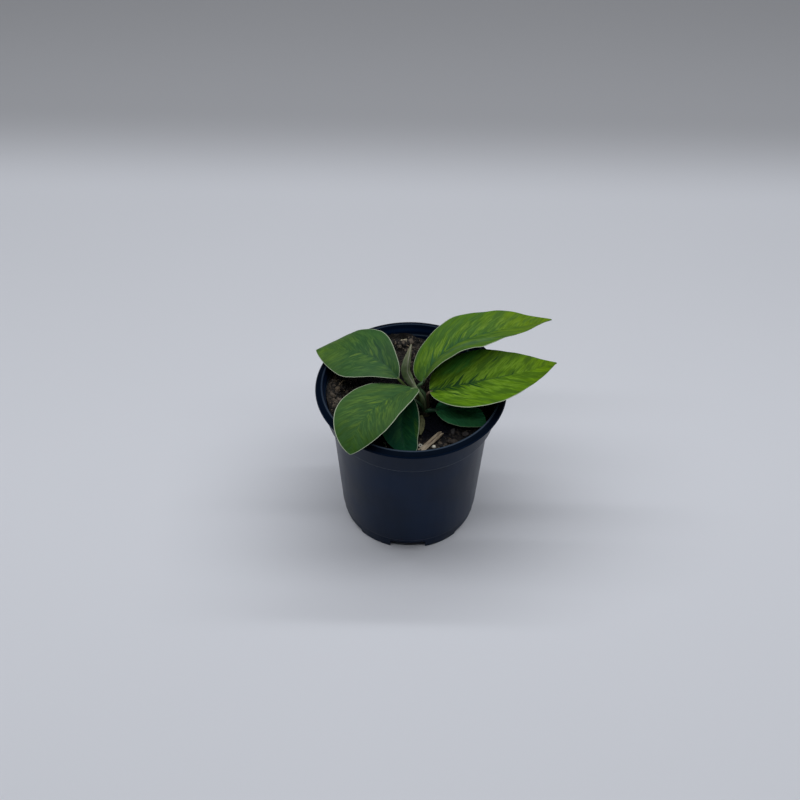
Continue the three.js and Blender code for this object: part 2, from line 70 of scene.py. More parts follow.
# Pot, from the middle of its base outwards and up
POT_HEIGHT = in_mm(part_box("pot")[1])[2]
LIP_RADIUS = in_mm(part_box("pot")[1])[0]
LIP_LOW_Z = POT_HEIGHT - 3.0
LIP_EDGE_Z = POT_HEIGHT - 1.6
ROLL_RADIUS = LIP_RADIUS - 4.0
MOUTH_RADIUS = LIP_RADIUS - 4.6
BAND_TOP_RADIUS = LIP_RADIUS - 4.8
BAND_LOW_RADIUS = LIP_RADIUS - 6.4
LEDGE_Z = 87.9
BODY_TOP_RADIUS = 50.3
BODY_LOW_RADIUS = 45.1
BODY_LOW_Z = 9.2
FOOT_TOP_RADIUS = 44.2
FOOT_TOP_Z = 8.0
FOOT_RADIUS = 43.9
FOOT_INNER_RADIUS = 41.6
POT_WALL = 1.1
FLOOR_LOW_Z = 6.4
FLOOR_TOP_Z = 7.7
PAD_RADIUS = 9.0
BEAD_Z = 102.0
BEAD_DEPTH = 0.5
BEAD_FADE = 3.0
LEDGE_ROUNDING = 1.0
LIP_SEAM_Z = LIP_LOW_Z + 1.5
LIP_SEAM_RADIUS = ROLL_RADIUS + 0.3
NOTCH_START = 0.85 * FOOT_RADIUS
NOTCH_DEPTH = 0.25 * FOOT_RADIUS
FEET = SimpleNamespace(count=6, width=23.0, heights=(6.0, 2.2, 2.2), corner=1.6, first=-90.0)
DRAINS = SimpleNamespace(count=6, radius=3.5, circle=33.0, first=-60.0)

# Soil
SOIL_MEAN_Z = 98.1
SOIL_BACK_RISE = 0.028
SOIL_LUMPS = (
    (0.42, 0.19, 0.11, 0.4),
    (0.36, -0.13, 0.21, 1.9),
    (0.3, 0.31, -0.17, 3.1),
    (0.22, 0.09, 0.37, 5.2),
)
SOIL_RADIUS = 53.0
SOIL_GAP = 0.3
BED_GRID = SimpleNamespace(rings=96, sides=220)
GROUND_GRID = SimpleNamespace(rings=60, sides=120)
# The raised bank: its middle, half its reach and its fade in degrees, the rest in millimetres
BANK = SimpleNamespace(middle=147.0, half=50.0, fade=14.0, inner=36.0, height=6.4)
# Spots of painted shade under the leaves are (x, y, radius, strength)
SHADE_SPOTS = (
    (13.0, -19.0, 22.0, 1.0),
    (-15.0, -36.0, 13.0, 0.9),
    (55.0, -8.0, 13.0, 0.9),
    (-20.0, 14.0, 20.0, 0.8),
    (38.0, -28.0, 24.0, 0.5),
)
CROWN = SimpleNamespace(x=9.0, y=-12.3, radius=4.1, hole=4.4, low=84.3, top=99.5)
CROWN_SCALES = SimpleNamespace(headings=(15, 88, 150, 205, 262, 325), half_spread=44, height=4.2)
SMALL_BITS = ("prill_ring", "prill_white", "prill_tan", "grit_front_1", "grit_front_2")
LARGE_BITS = ("wood_chip", "dry_flake", "dry_sheath", "bark_left", "bark_right")
LARGE_BITS += ("bark_edge", "bark_front", "bark_rear")

# Light and dark colour of each bark crumb
BARK_COLOURS = {
    "bark_left": ((0.110, 0.072, 0.046), (0.045, 0.030, 0.022)),
    "bark_right": ((0.045, 0.042, 0.043), (0.022, 0.020, 0.021)),
    "bark_edge": ((0.042, 0.036, 0.035), (0.020, 0.017, 0.017)),
    "bark_front": ((0.055, 0.044, 0.038), (0.024, 0.020, 0.018)),
    "bark_rear": ((0.105, 0.074, 0.048), (0.040, 0.028, 0.020)),
}

# Layers strewn over the soil, with sizes in millimetres and a gap left at the soil's edge
STREWN = (
    SimpleNamespace(
        piece="soil_fine_crumbs", material="soil_fine_crumb", pale=(0.20, 0.15, 0.10),
        tree="crumb", gap=1.2, banked=False, seed=4, size=0.42, spread=1.6, roughness=0.35,
        tints=(0.0, 1.0),
    ),
    SimpleNamespace(
        piece="soil_coarse_crumbs", material="soil_coarse_crumb", pale=(0.17, 0.12, 0.08),
        tree="clod", gap=3.2, banked=False, seed=9, size=0.75, spread=1.5, roughness=0.9,
        tints=(0.1, 0.96),
    ),
    SimpleNamespace(
        piece="soil_bank_clods", material="soil_bank_clod", pale=(0.13, 0.10, 0.07),
        tree="clod", gap=3.4, banked=True, seed=23, size=1.1, spread=1.2, roughness=1.8,
        tints=(0.15, 1.0),
    ),
    SimpleNamespace(
        piece="soil_fibres", material="soil_fibre", pale=(0.26, 0.19, 0.12),
        tree="fibre", gap=6.0, banked=False, seed=17, size=1.0, spread=1.8, roughness=0.9,
        tints=(0.35, 1.0),
    ),
)

# Leaves: heading, pitch and roll are (at the base, at the tip, bow between), in degrees.
# A fold is (at the middle, gain to the tip) and a curl is from midrib to margin, in degrees.
# Shoulder and taper are the powers that round the outline at its base and at its tip.
# A wave is (height, count, phase), and a bulge of the margin (side, amount, middle, spread)
LEAVES = {
    "leaf_left_rear": SimpleNamespace(
        foot_angle=120, base=(-8, -4, 119), length=64, width=38.5,
        heading=(135, 173, -5), pitch=(27, -14, -18), roll=(16, -8, 13),
        fold=(8, -15), curl=-19, lean=0, shoulder=0.8, taper=0.75, wave=(0.3, 3, 0.6),
        bulges=((1, -2.6, 0.18, 0.15), (-1, -1.2, 0.22, 0.15)),
        stalk=((7.6, -10.4, 100.8), (4.6, -8.9, 106.8), (0.4, -6.9, 110.2),
               (-3.2, -5.3, 113.1), (-6, -4.5, 116.2)),
    ),
    "leaf_left_front": SimpleNamespace(
        foot_angle=180, base=(1.5, -12, 118.5), length=66, width=41.5,
        heading=(215, 268, -10), pitch=(11, -25, 4), roll=(-30, 21, -5),
        fold=(12, 0), curl=-9, lean=0.03, shoulder=0.45, taper=0.7, wave=(0.3, 2.5, 2),
        bulges=((1, 1.8, 0.16, 0.12),),
        stalk=((6.8, -12.5, 103), (6.2, -13, 110), (4.6, -13, 115.6)),
    ),
    "leaf_right_rear": SimpleNamespace(
        foot_angle=60, base=(7, -5, 117), length=95.5, width=44,
        heading=(67, 16, -22), pitch=(35, 11, -17), roll=(53, 25, -26),
        fold=(21, 2), curl=-9, lean=0.03, shoulder=0.5, taper=0.85, wave=(0.8, 3, 1.1),
        bulges=((1, 2.8, 0.20, 0.17), (1, 2.2, 0.05, 0.06), (-1, 0.9, 0.05, 0.06)),
        stalk=((9.9, -10.2, 101.5), (8.4, -7.4, 108.3), (5.2, -5.6, 111.8),
               (4.6, -5.4, 114)),
    ),
    "leaf_right": SimpleNamespace(
        foot_angle=0, base=(11.5, -13.5, 117.5), length=82, width=41,
        heading=(8, 27, -3), pitch=(12, 0, -3), roll=(1, 5, -16),
        fold=(15, 2), curl=-4, lean=0, shoulder=0.5, taper=0.95, wave=(0.4, 3, 0.2),
        bulges=((-1, 2.2, 0.09, 0.12),),
        stalk=((10.9, -12.4, 103), (10.3, -13.1, 111), (10.3, -13.5, 115)),
    ),
    "leaf_front_low": SimpleNamespace(
        foot_angle=240, base=(-0.5, -13.5, 112), length=41.5, width=24.5,
        heading=(242, 289, 5), pitch=(-13, -17, -1), roll=(-6, 5, -3),
        fold=(25, -1), curl=3, lean=0.03, shoulder=0.55, taper=0.65, wave=(0.2, 2.5, 1.5),
        bulges=((-1, 3.0, 0.97, 0.12), (1, 2.4, 0.74, 0.18)),
        stalk=((7.8, -14.3, 100.8), (5.6, -15, 107.2), (2.4, -14.6, 110.6)),
    ),
    "leaf_right_low": SimpleNamespace(
        foot_angle=300, base=(15.5, -15, 103), length=33, width=20.5,
        heading=(1, -33, -2), pitch=(0, -11, 1), roll=(-5, -8, -3),
        fold=(12, 0), curl=-10, lean=0, shoulder=0.5, taper=0.7, wave=(0.2, 2.5, 0.3),
        bulges=(),
        stalk=((10.1, -14.2, 99), (11.6, -14.7, 101.6)),
    ),
}
# A blade's half width at its base and at its tip, how side veins slant and bend away from
# the midrib, and the forms of its keel, its groove, its thin margin and its ruffle
BASE_HALF = 0.9
TIP_HALF = 0.35
VEIN_SLANT = 1.1
VEIN_BEND = 0.018
FOLD_ROUNDING = 1.3
KEEL_SPREAD = 1.05
GROOVE = SimpleNamespace(depth=0.10, spread=1.0)
MARGIN_THINNING = 0.35
RUFFLE = SimpleNamespace(height=0.12, pace=2.7, offset=1.3)
BLADE_RIM = 0.10

# Stalks: a foot that clasps the crown, then a channel on the inner side, and fine ribs
STALK = SimpleNamespace(
    rings=60, sides=20, circle=2.1, foot_z=95.3, foot_radius=0.75, neck_radius=0.5,
    clasp_start=2.5, clasp_fade=4.5, clasp_width=0.42, channel=0.20, channel_spread=0.5,
    ribs=7, rib_height=0.025,
)
SHEATH_TOP_Z = in_mm(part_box("dry_sheath")[1])[2]
SHEATH = SimpleNamespace(
    base=(6.6, -16.6, SHEATH_TOP_Z - 0.1), length=16.6, width=3.3,
    heading=(280, 256, 0), pitch=(0, 0, 0), roll=(0, 0, 0), fold=(14, 0), curl=-26,
    lean=0, shoulder=0.6, taper=0.7, wave=(0, 1, 0), bulges=(),
)
FLAKE_SHIFT = (0.0, -1.2, 2.0)
SPLINTER = SimpleNamespace(
    start=(6.1, -46.0, 98.6), end=(19.4, -30.1, 99.0), width=3.7, thickness=1.0, split=2.6,
)
SPEAR_PATH = (
    (9, -12.3, 95.3), (8.8, -12.1, 103), (7.2, -11, 109.2), (3.6, -8.4, 113.2),
    (0.6, -5.8, 116), (-1.5, -4.2, 119.5), (-3.4, -3.2, 125), (-2.8, -2.4, 131.5),
    (-0.4, 1.9, 142),
)
SPEAR_STATIONS = (0, 0.3, 0.42, 0.5, 0.56, 0.66, 0.76, 0.86, 0.94, 1)
SPEAR_RADII = (0.75, 0.9, 1.4, 2.6, 3.0, 2.8, 2.55, 1.75, 1, 0.4)
SPEAR_SEAM = SimpleNamespace(angle=250, twist=-60, start=0.40, growth=0.08, step=0.26)
SPEAR_GRID = SimpleNamespace(rings=150, sides=64)
SPEAR_SMOOTHING = 4
SPEAR_FLATNESS = 0.12

# Leaf finishes, with linear colours. Feathers are (side, start, reach, width), and islands,
# blotches and patches of painted light are (side distance, start, length, width), in
# millimetres, where right is positive. A margin reach is (left, right), as shares of the blade's
# length
# The patches of painted light brighten cast shadows on some leaves, add a sheen on one and
# deepen the shade on others
LEAF_LOOKS = {
    "leaf_left_rear": SimpleNamespace(
        seed=3.0, green=(0.044, 0.118, 0.032), yellow=(0.115, 0.200, 0.040),
        dark=(0.026, 0.078, 0.030), tip=(0.090, 0.175, 0.022), band=0.4, feather=0.45,
        band_end=0.6, bloom=0.42, feathers=((1, 14, 12, 5),), islands=(),
        blotches=((-2.0, 31, 8, 3), (-1.2, 16, 8, 2), (2.5, 22, 6, 2.5)),
        margin_reach=(1.2, 0.6), margin_amount=0.9, gloss=0.10,
        stalk=(0.150, 0.200, 0.060), thick=1.0,
        cool=((4.0, 2.0, 26.0, 26.0),), cool_colour=(0.016, 0.060, 0.014),
    ),
    "leaf_left_front": SimpleNamespace(
        seed=11.0, green=(0.060, 0.130, 0.036), yellow=(0.140, 0.235, 0.032),
        dark=(0.036, 0.096, 0.034), tip=(0.024, 0.070, 0.007), band=0.6, feather=0.55,
        band_end=0.6, bloom=0.42, feathers=((1, 10, 7, 3), (-1, 15, 5, 2)), islands=(),
        blotches=((3.0, 24, 6, 3), (-2.0, 28, 5, 2.5), (1.0, 33, 5, 2), (-4.0, 20, 6, 2)),
        margin_reach=(1.2, 1.2), margin_amount=0.95, gloss=0.03,
        stalk=(0.160, 0.240, 0.100), thick=1.7,
        cool=(), cool_colour=(0.045, 0.115, 0.050),
    ),
    "leaf_right_rear": SimpleNamespace(
        seed=23.0, green=(0.084, 0.182, 0.016), yellow=(0.165, 0.265, 0.036),
        dark=(0.030, 0.092, 0.034), tip=(0.150, 0.248, 0.006), band=0.8, feather=0.7,
        band_end=0.6, bloom=0.62,
        feathers=((-1, 12, 9, 2.4), (-1, 22, 8, 2), (-1, 33, 9, 2), (1, 20, 7, 4)), islands=(),
        blotches=((-5.0, 14, 9, 2), (-4.0, 24, 8, 1.6), (-3.0, 36, 7, 1.6), (-7.0, 8, 6, 2)),
        margin_reach=(0.45, 0.62), margin_amount=0.9, gloss=0.05,
        stalk=(0.080, 0.150, 0.070), thick=1.5,
        # A bluish patch of painted sheen on the lower side
        cool=((11.0, 22.0, 14.0, 44.0),), cool_colour=(0.064, 0.142, 0.078),
    ),
    "leaf_right": SimpleNamespace(
        seed=31.0, green=(0.100, 0.212, 0.008), yellow=(0.168, 0.288, 0.034),
        dark=(0.010, 0.046, 0.014), tip=(0.115, 0.215, 0.005), band=1.5, feather=0.5,
        band_end=0.42, bloom=0.50,
        feathers=((-1, 5, 8, 1.5), (-1, 9.5, 7, 1.5), (-1, 15.5, 7.5, 3.0), (-1, 25, 5.5, 2.4),
                  (-1, 33, 5, 1.3), (-1, 52, 2.2, 1.4), (1, 7, 4.5, 1.6), (1, 11.5, 5.5, 1.8),
                  (1, 17, 5.5, 1.7), (1, 24.5, 7.5, 2.4)),
        islands=((7.5, 5.7, 4.0, 2.0), (9.0, 9.5, 3.0, 1.6), (-12.0, 28.0, 5.0, 3.0)),
        blotches=((5.0, 8, 8, 4), (3.5, 22, 7, 3), (9.0, 4, 6, 3)),
        margin_reach=(0.03, 0.66), margin_amount=0.85, gloss=0.03,
        stalk=(0.130, 0.090, 0.064), thick=1.4,
        # A bright patch of painted light where leaf_right_rear casts its shadow
        cool=((-15.0, 2.0, 18.0, 30.0),), cool_colour=(0.050, 0.260, 0.045),
    ),
    "leaf_front_low": SimpleNamespace(
        seed=43.0, green=(0.009, 0.062, 0.022), yellow=(0.034, 0.092, 0.016),
        dark=(0.005, 0.040, 0.021), tip=(0.004, 0.040, 0.017), band=0.6, feather=0.4,
        band_end=0.7, bloom=0.2, feathers=(), islands=(), blotches=((-9.5, 14, 4, 26),),
        # The pale margin is dimmed and left out on the right side, where the leaf lies in shade:
        # painted shade
        margin_reach=(1.2, -1.0), margin_amount=0.55, gloss=0.03,
        stalk=(0.022, 0.060, 0.025), thick=1.3,
        # A dark patch of painted shade under leaf_left_front
        cool=((8.0, 14.0, 13.0, 60.0),), cool_colour=(0.003, 0.026, 0.017),
    ),
    "leaf_right_low": SimpleNamespace(
        # The greens are set light to lift the shadow that leaf_right casts on this leaf: partly
        # painted light
        seed=57.0, green=(0.030, 0.165, 0.062), yellow=(0.052, 0.190, 0.050),
        dark=(0.018, 0.118, 0.054), tip=(0.028, 0.140, 0.050), band=0.4, feather=0.4,
        band_end=0.7, bloom=0.2, feathers=(), islands=(), blotches=(),
        # The pale margin is dimmed and left out on the left side, in the shadow of leaf_right:
        # painted shade
        margin_reach=(-1.0, 1.2), margin_amount=0.3, gloss=0.03,
        stalk=(0.018, 0.080, 0.036), thick=2.1,
        # A bright patch of painted light where leaf_right casts its shadow
        cool=((-7.0, 10.0, 14.0, 60.0),), cool_colour=(0.050, 0.340, 0.170),
    ),
}

# Camera, solved from the rim, the step, the base and one notch of the pot
CAMERA = SimpleNamespace(
    place=(0.0, -528.2, 640.2), pitch=45.88, yaw=-0.743, roll=0.658, lens=54.0, sensor=36.0,
)

# Stage. A tube lamp is (its place along Y, its share of the power, its width)
FLOOR_HALF = 1600.0
SWEEP_START_Y = 385.0
SWEEP_RADIUS = 900.0
SWEEP_TURN = 35.0
LAMPS = ((475.0, 1.51, 60.0), (0.0, 1.32, 300.0), (-560.0, 0.74, 60.0))
LAMP_Z = 1400.0
LAMP_COLOUR = (0.97, 0.985, 1.0)
CEILING_Z = 2300.0
CEILING_SIZE = 3.0
AMBIENT_COLOUR = (0.86, 0.92, 1.0)
SHADED_FLOOR = (0.20, 0.20, 0.21)


def colour_property(name, description, default):
    """A colour for the sidebar."""
    return bpy.props.FloatVectorProperty(
        name=name, description=description, subtype="COLOR", size=3, default=default,
        min=0, max=1)


def length_property(name, description, default, low, high):
    """A length for the sidebar, given in millimetres."""
    return bpy.props.FloatProperty(
        name=name, description=description, unit="LENGTH", default=default * MM,
        min=low * MM, max=high * MM)


def count_property(name, description, default, low, high):
    """A whole number for the sidebar."""
    return bpy.props.IntProperty(
        name=name, description=description, default=default, min=low, max=high)


class PotLook(bpy.types.PropertyGroup):
    """Sizes and colours of the pot."""

    segments: count_property("Segments", "Faces round the pot", 216, 48, 360)
    edge: length_property("Edge radius", "Rounding of the moulded edges", 0.4, 0.1, 1.0)
    colour: colour_property(
        "Plastic", "Colour of the pot's plastic", (0.0021, 0.0098, 0.0315))
    # Colour of the painted highlights on the ledge, on the lip's crest and on the inner bead
    edge_colour: colour_property(
        "Painted highlights", "Colour of the ledge and of the lip's inner edge", (0.030, 0.043, 0.066))
    roughness: bpy.props.FloatProperty(
        name="Roughness", description="Roughness of the plastic", subtype="FACTOR",
        default=0.40, min=0, max=1)


class SoilLook(bpy.types.PropertyGroup):
    """Sizes and colours of the soil."""

    relief: length_property("Relief", "Height of the soil's unevenness", 1.5, 0, 3)
    fine_count: count_property(
        "Fine crumbs", "How many fine crumbs lie on the soil", 6200, 0, 9000)
    coarse_count: count_property(
        "Coarse crumbs", "How many coarse crumbs lie on the soil", 620, 0, 2000)
    fibre_count: count_property("Fibres", "How many fibres lie on the soil", 420, 0, 3000)
    clod_density: bpy.props.FloatProperty(
        name="Clods", description="Clods on each square metre of the raised bank",
        default=125000.0, min=0, max=300000)
    dark: colour_property(
        "Dark peat", "Colour of the damp peat", (0.0125, 0.0120, 0.0122))
    # Colour of the painted shade under the leaves
    leaf_shade: colour_property(
        "Shaded peat", "Colour of the peat under the leaves", (0.0004, 0.0012, 0.0052))
    brown: colour_property(
        "Brown peat", "Colour of the dry crumbs", (0.092, 0.075, 0.059))


class LeafLook(bpy.types.PropertyGroup):
    """Sizes and colours that all leaves share."""

    sheet: length_property("Sheet", "Thickness of a blade between its veins", 0.42, 0.2, 0.8)
    keel: length_property("Keel", "How far the midrib stands out below", 1.0, 0, 2)
    quilting: length_property(
        "Quilting", "How far a blade swells between its side veins", 0.10, 0, 0.5)
    vein_spacing: length_property(
        "Vein spacing", "Distance between side veins at the midrib", 4.6, 2, 10)
    margin_width: length_property(
        "Margin", "Width of the pale line along the margin", 0.44, 0, 2)
    margin: colour_property(
        "Margin colour", "Colour of the pale margin", (0.42, 0.48, 0.35))
    underside: colour_property(
        "Underside", "Colour of the blades' undersides", (0.085, 0.150, 0.060))


class StageLook(bpy.types.PropertyGroup):
    """Floor and light."""

    floor: colour_property("Floor", "Colour of the floor", (0.72, 0.735, 0.79))
    lamp_length: length_property("Lamp length", "Length of each tube lamp", 2600, 100, 5000)
    lamp_power: bpy.props.FloatProperty(
        name="Lamp power", description="Power of each tube lamp", unit="POWER",
        default=6.6, min=0, max=200)
    ceiling_power: bpy.props.FloatProperty(
        name="Ceiling power", description="Power of the light from the whole ceiling",
        unit="POWER", default=1.9, min=0, max=200)
    ambient: bpy.props.FloatProperty(
        name="Ambient", description="Strength of the light from all sides", default=0.035,
        min=0, max=3)


class Value:
    """A node's output that Python's operators work on."""

    def __init__(self, nodes, socket):
        self.nodes = nodes
        self.socket = socket

    def math(self, operation, first, second=0.0):
        settings = {"operation": operation}
        return self.nodes.node("ShaderNodeMath", settings, Value=first, Value_001=second)

    def __add__(self, other):
        return self.math("ADD", self, other)

    def __sub__(self, other):
        return self.math("SUBTRACT", self, other)

    def __rsub__(self, other):
        return self.math("SUBTRACT", other, self)

    def __mul__(self, other):
        return self.math("MULTIPLY", self, other)

    def __truediv__(self, other):
        return self.math("DIVIDE", self, other)

    def __rtruediv__(self, other):
        return self.math("DIVIDE", other, self)

    def __pow__(self, other):
        return self.math("POWER", self, other)

    def __rpow__(self, other):
        return self.math("POWER", other, self)

    def __abs__(self):
        return self.math("ABSOLUTE", self)

    __radd__ = __add__
    __rmul__ = __mul__

    def or_more(self, other):
        return self.math("MAXIMUM", self, other)

    def sign(self):
        return self.math("SIGN", self)

    def cosine(self):
        return self.math("COSINE", self)

    def step(self, low, high):
        """0 below low, 1 above high and smooth between, or the reverse where low is higher."""
        settings = {"interpolation_type": "SMOOTHSTEP"}
        sockets = {"From Min": low, "From Max": high}
        return self.nodes.node("ShaderNodeMapRange", settings, Value=self, **sockets)

    def band(self, rise, fall):
        """1 between a rise and a fall, each given as the values that its step lies between."""
        return self.step(*rise) * self.step(*fall)


class Nodes:
    """A node tree that is written to through one method."""

    def __init__(self, tree):
        self.tree = tree

    def node(self, kind, settings=None, output=None, **values):
        """Adds a node: its settings first, then the values or links of its sockets.

        Sockets go by their identifiers. Returns the output that is named, or else the first.
        """
        made = self.tree.nodes.new(kind)
        for key, value in (settings or {}).items():
            if key == "stops":
                self.fill_ramp(made.color_ramp, value)
            else:
                setattr(made, key, value)
        by_name = {socket.identifier: socket for socket in made.inputs}
        for key, value in values.items():
            self.feed(by_name[key], value)
        names = [socket.identifier for socket in made.outputs]
        return Value(self, made.outputs[names.index(output or names[0])]) if names else None

    def feed(self, socket, value):
        """Links a value to a socket, or sets the socket to a number, colour or setting."""
        if isinstance(value, Value):
            self.tree.links.new(value.socket, socket)
        elif hasattr(value, "__len__") and len(value) == 3 and socket.type == "RGBA":
            socket.default_value = (*value, 1.0)
        else:
            socket.default_value = value

    def fill_ramp(self, ramp, stops):
        while len(ramp.elements) < len(stops):
            ramp.elements.new(1.0)
        for element, (position, colour) in zip(ramp.elements, stops):
            element.position = position
            element.color = (*colour, 1.0)

    def vector(self, x=0.0, y=0.0, z=0.0):
        return self.node("ShaderNodeCombineXYZ", X=x, Y=y, Z=z)

    def scaled(self, vector, factors):
        return self.node("ShaderNodeVectorMath", {"operation": "MULTIPLY"},
                         Vector=vector, Vector_001=factors)

    def parts(self, vector):
        """The three numbers of a vector."""
        split = self.node("ShaderNodeSeparateXYZ", Vector=vector)
        outputs = split.socket.node.outputs
        return [Value(self, outputs[axis]) for axis in "XYZ"]

    def noise(self, vector, scale=1.0, detail=2.0, roughness=0.5):
        return self.node("ShaderNodeTexNoise", Vector=vector, Scale=scale, Detail=detail,
                         Roughness=roughness)

    def grey(self, value):
        """A colour from one number."""
        return self.node("ShaderNodeCombineColor", Red=value, Green=value, Blue=value)

    def blend(self, factor, first, second, how="MIX"):
        """Two colours mixed by a factor."""
        settings = {"data_type": "RGBA", "blend_type": how, "clamp_factor": True}
        return self.node("ShaderNodeMix", settings, "Result_Color", Factor_Float=factor,
                         A_Color=first, B_Color=second)


class Shader(Nodes):
    """One material, built round its Principled BSDF."""

    def __init__(self, name, **fixed):
        self.material = bpy.data.materials.new(name)
        self.material.use_nodes = True
        super().__init__(self.material.node_tree)
        self.surface = self.tree.nodes["Principled BSDF"]
        for key, value in fixed.items():
            self.feed(self.surface.inputs[key.replace("_", " ")], value)

    def place(self):
        """The piece's own coordinates, in metres."""
        return self.node("ShaderNodeTexCoord", output="Object")

    def attribute(self, name):
        return self.node("ShaderNodeAttribute", {"attribute_name": name}, "Fac")

    def colour(self, value):
        self.feed(self.surface.inputs["Base Color"], value)

    def roughness(self, value):
        self.feed(self.surface.inputs["Roughness"], value)

    def strongest(self, masks):
        """The strongest of several masks at each point."""
        most = masks[0]
        for mask in masks[1:]:
            most = most.or_more(mask)
        return most

    def bump(self, height, distance, strength=1.0):
        """Relief from a height, where a height of 1 stands for the distance."""
        normal = self.node("ShaderNodeBump", output="Normal", Height=height,
                           Distance=distance, Strength=strength)
        self.feed(self.surface.inputs["Normal"], normal)


def along(ends, share):
    """A value at a share of the way, from its start, its end and its bow."""
    start, end, bow = ends
    return start + (end - start) * share + bow * 4 * share * (1 - share)


def unit(vectors):
    """Vectors of length 1 that point the same way."""
    return vectors / np.linalg.norm(vectors, axis=-1, keepdims=True)


def smooth_path(points, count):
    """Evenly spaced points on a centripetal Catmull-Rom curve through the given ones."""
    p = np.array(points, float)
    p = np.vstack([2 * p[0] - p[1], p, 2 * p[-1] - p[-2]])
    pieces = []
    for i in range(len(p) - 3):
        p0, p1, p2, p3 = p[i:i + 4]
        t1 = np.linalg.norm(p1 - p0) ** 0.5
        t2 = t1 + np.linalg.norm(p2 - p1) ** 0.5
        t3 = t2 + np.linalg.norm(p3 - p2) ** 0.5
        t = np.linspace(t1, t2, 40)[:, None]
        a1 = (t1 - t) / t1 * p0 + t / t1 * p1
        a2 = (t2 - t) / (t2 - t1) * p1 + (t - t1) / (t2 - t1) * p2
        a3 = (t3 - t) / (t3 - t2) * p2 + (t - t2) / (t3 - t2) * p3
        b1 = (t2 - t) / t2 * a1 + t / t2 * a2
        b2 = (t3 - t) / (t3 - t1) * a2 + (t - t1) / (t3 - t1) * a3
        pieces.append((t2 - t) / (t2 - t1) * b1 + (t - t1) / (t2 - t1) * b2)
    dense = np.vstack(pieces)
    steps = np.linalg.norm(np.diff(dense, axis=0), axis=1)
    reach = np.concatenate([[0], np.cumsum(steps)])
    even = np.linspace(0, reach[-1], count)
    return np.stack([np.interp(even, reach, dense[:, k]) for k in range(3)], axis=1)


def path_axes(path, first_normal):
    """Normals and binormals that turn as little as they can along a path."""
    tangents = unit(np.gradient(path, axis=0))
    normals = np.zeros_like(path)
    normal = np.array(first_normal, float)
    for i, tangent in enumerate(tangents):
        normal = unit(normal - normal.dot(tangent) * tangent)
        normals[i] = normal
    return normals, np.cross(tangents, normals)


def quads(low, high):
    """Faces between two closed rows of point numbers."""
    low, high = list(low), list(high)
    corners = zip(low, low[1:] + low[:1], high[1:] + high[:1], high)
    return [tuple(face) for face in corners]


def tube_faces(rings, sides, first=0):
    """Faces between rings and a cap at each end."""
    rows = [range(first + i * sides, first + (i + 1) * sides) for i in range(rings)]
    faces = [face for low, high in zip(rows, rows[1:]) for face in quads(low, high)]
    return faces + [tuple(reversed(rows[0])), tuple(rows[-1])]


def merged(parts):
    """The points and faces of several shapes as those of one."""
    points, faces = [], []
    for more_points, more_faces in parts:
        first = len(points)
        points.extend(more_points)
        faces.extend(tuple(first + k for k in face) for face in more_faces)
    return points, faces


def moved(points, across, along_y):
    return [(x + across, y + along_y, z) for x, y, z in points]


def turned_about_z(points, angle):
    c, s = math.cos(math.radians(angle)), math.sin(math.radians(angle))
    return [(x * c - y * s, x * s + y * c, z) for x, y, z in points]


def circle(radius, z, sides):
    """Points of a level circle round Z."""
    angles = [2 * math.pi * j / sides for j in range(sides)]
    return [(radius * math.cos(a), radius * math.sin(a), z) for a in angles]


def new_mesh_object(name, points, faces, attributes=None, sharp_angle=None):
    """An object from points in millimetres, with a float attribute for each list given."""
    mesh = bpy.data.meshes.new(name)
    mesh.from_pydata((np.asarray(points, float) * MM).tolist(), [], faces)
    for key, values in (attributes or {}).items():
        layer = mesh.attributes.new(key, "FLOAT", "POINT")
        layer.data.foreach_set("value", np.asarray(values, np.float32).ravel())
    smooth(mesh, sharp_angle)
    thing = bpy.data.objects.new(name, mesh)
    bpy.context.scene.collection.objects.link(thing)
    return thing


def smooth(mesh, sharp_angle=None):
    """Shades a mesh smoothly, but for edges sharper than an angle."""
    mesh.polygons.foreach_set("use_smooth", [True] * len(mesh.polygons))
    if sharp_angle is not None:
        mesh.set_sharp_from_angle(angle=math.radians(sharp_angle))
    mesh.update()


def settle_modifiers(thing):
    """Turns the object's evaluated form into its plain mesh."""
    evaluated = thing.evaluated_get(bpy.context.evaluated_depsgraph_get())
    plain = bpy.data.meshes.new_from_object(evaluated)
    plain.name = thing.name
    thing.modifiers.clear()
    thing.data = plain


def finish_piece(thing, materials, slot, *nodes):
    """Gives a piece its materials and its body, and hides the nodes that it stands for. Its slot
    is not used.
    """
    thing.data.materials.clear()
    for material in materials:
        thing.data.materials.append(material)
    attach(thing, "root")
    if nodes:
        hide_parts(*nodes)


def remove(thing):
    """Takes an object and its mesh out of the file."""
    mesh = thing.data
    bpy.data.objects.remove(thing)
    bpy.data.meshes.remove(mesh)


def node_copy(name, node):
    """A welded copy of a node's mesh."""
    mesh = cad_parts[node].data.copy()
    mesh.name = name
    work = bmesh.new()
    work.from_mesh(mesh)
    bmesh.ops.remove_doubles(work, verts=work.verts, dist=0.005 * MM)
    work.to_mesh(mesh)
    work.free()
    copy = bpy.data.objects.new(name, mesh)
    bpy.context.scene.collection.objects.link(copy)
    return copy


def lathe(profile, segments):
    """Points and faces of a profile of (radius, height) turned about Z, poles closed."""
    points, faces, rows = [], [], []
    for radius, z in profile:
        at_pole = radius < 1e-6
        made = [(0, 0, z)] if at_pole else circle(radius, z, segments)
        numbers = range(len(points), len(points) + len(made))
        rows.append(list(numbers) * segments if at_pole else numbers)
        points.extend(made)
    for low, high in zip(rows, rows[1:]):
        faces.extend(tuple(dict.fromkeys(face)) for face in quads(low, high))
    return points, faces


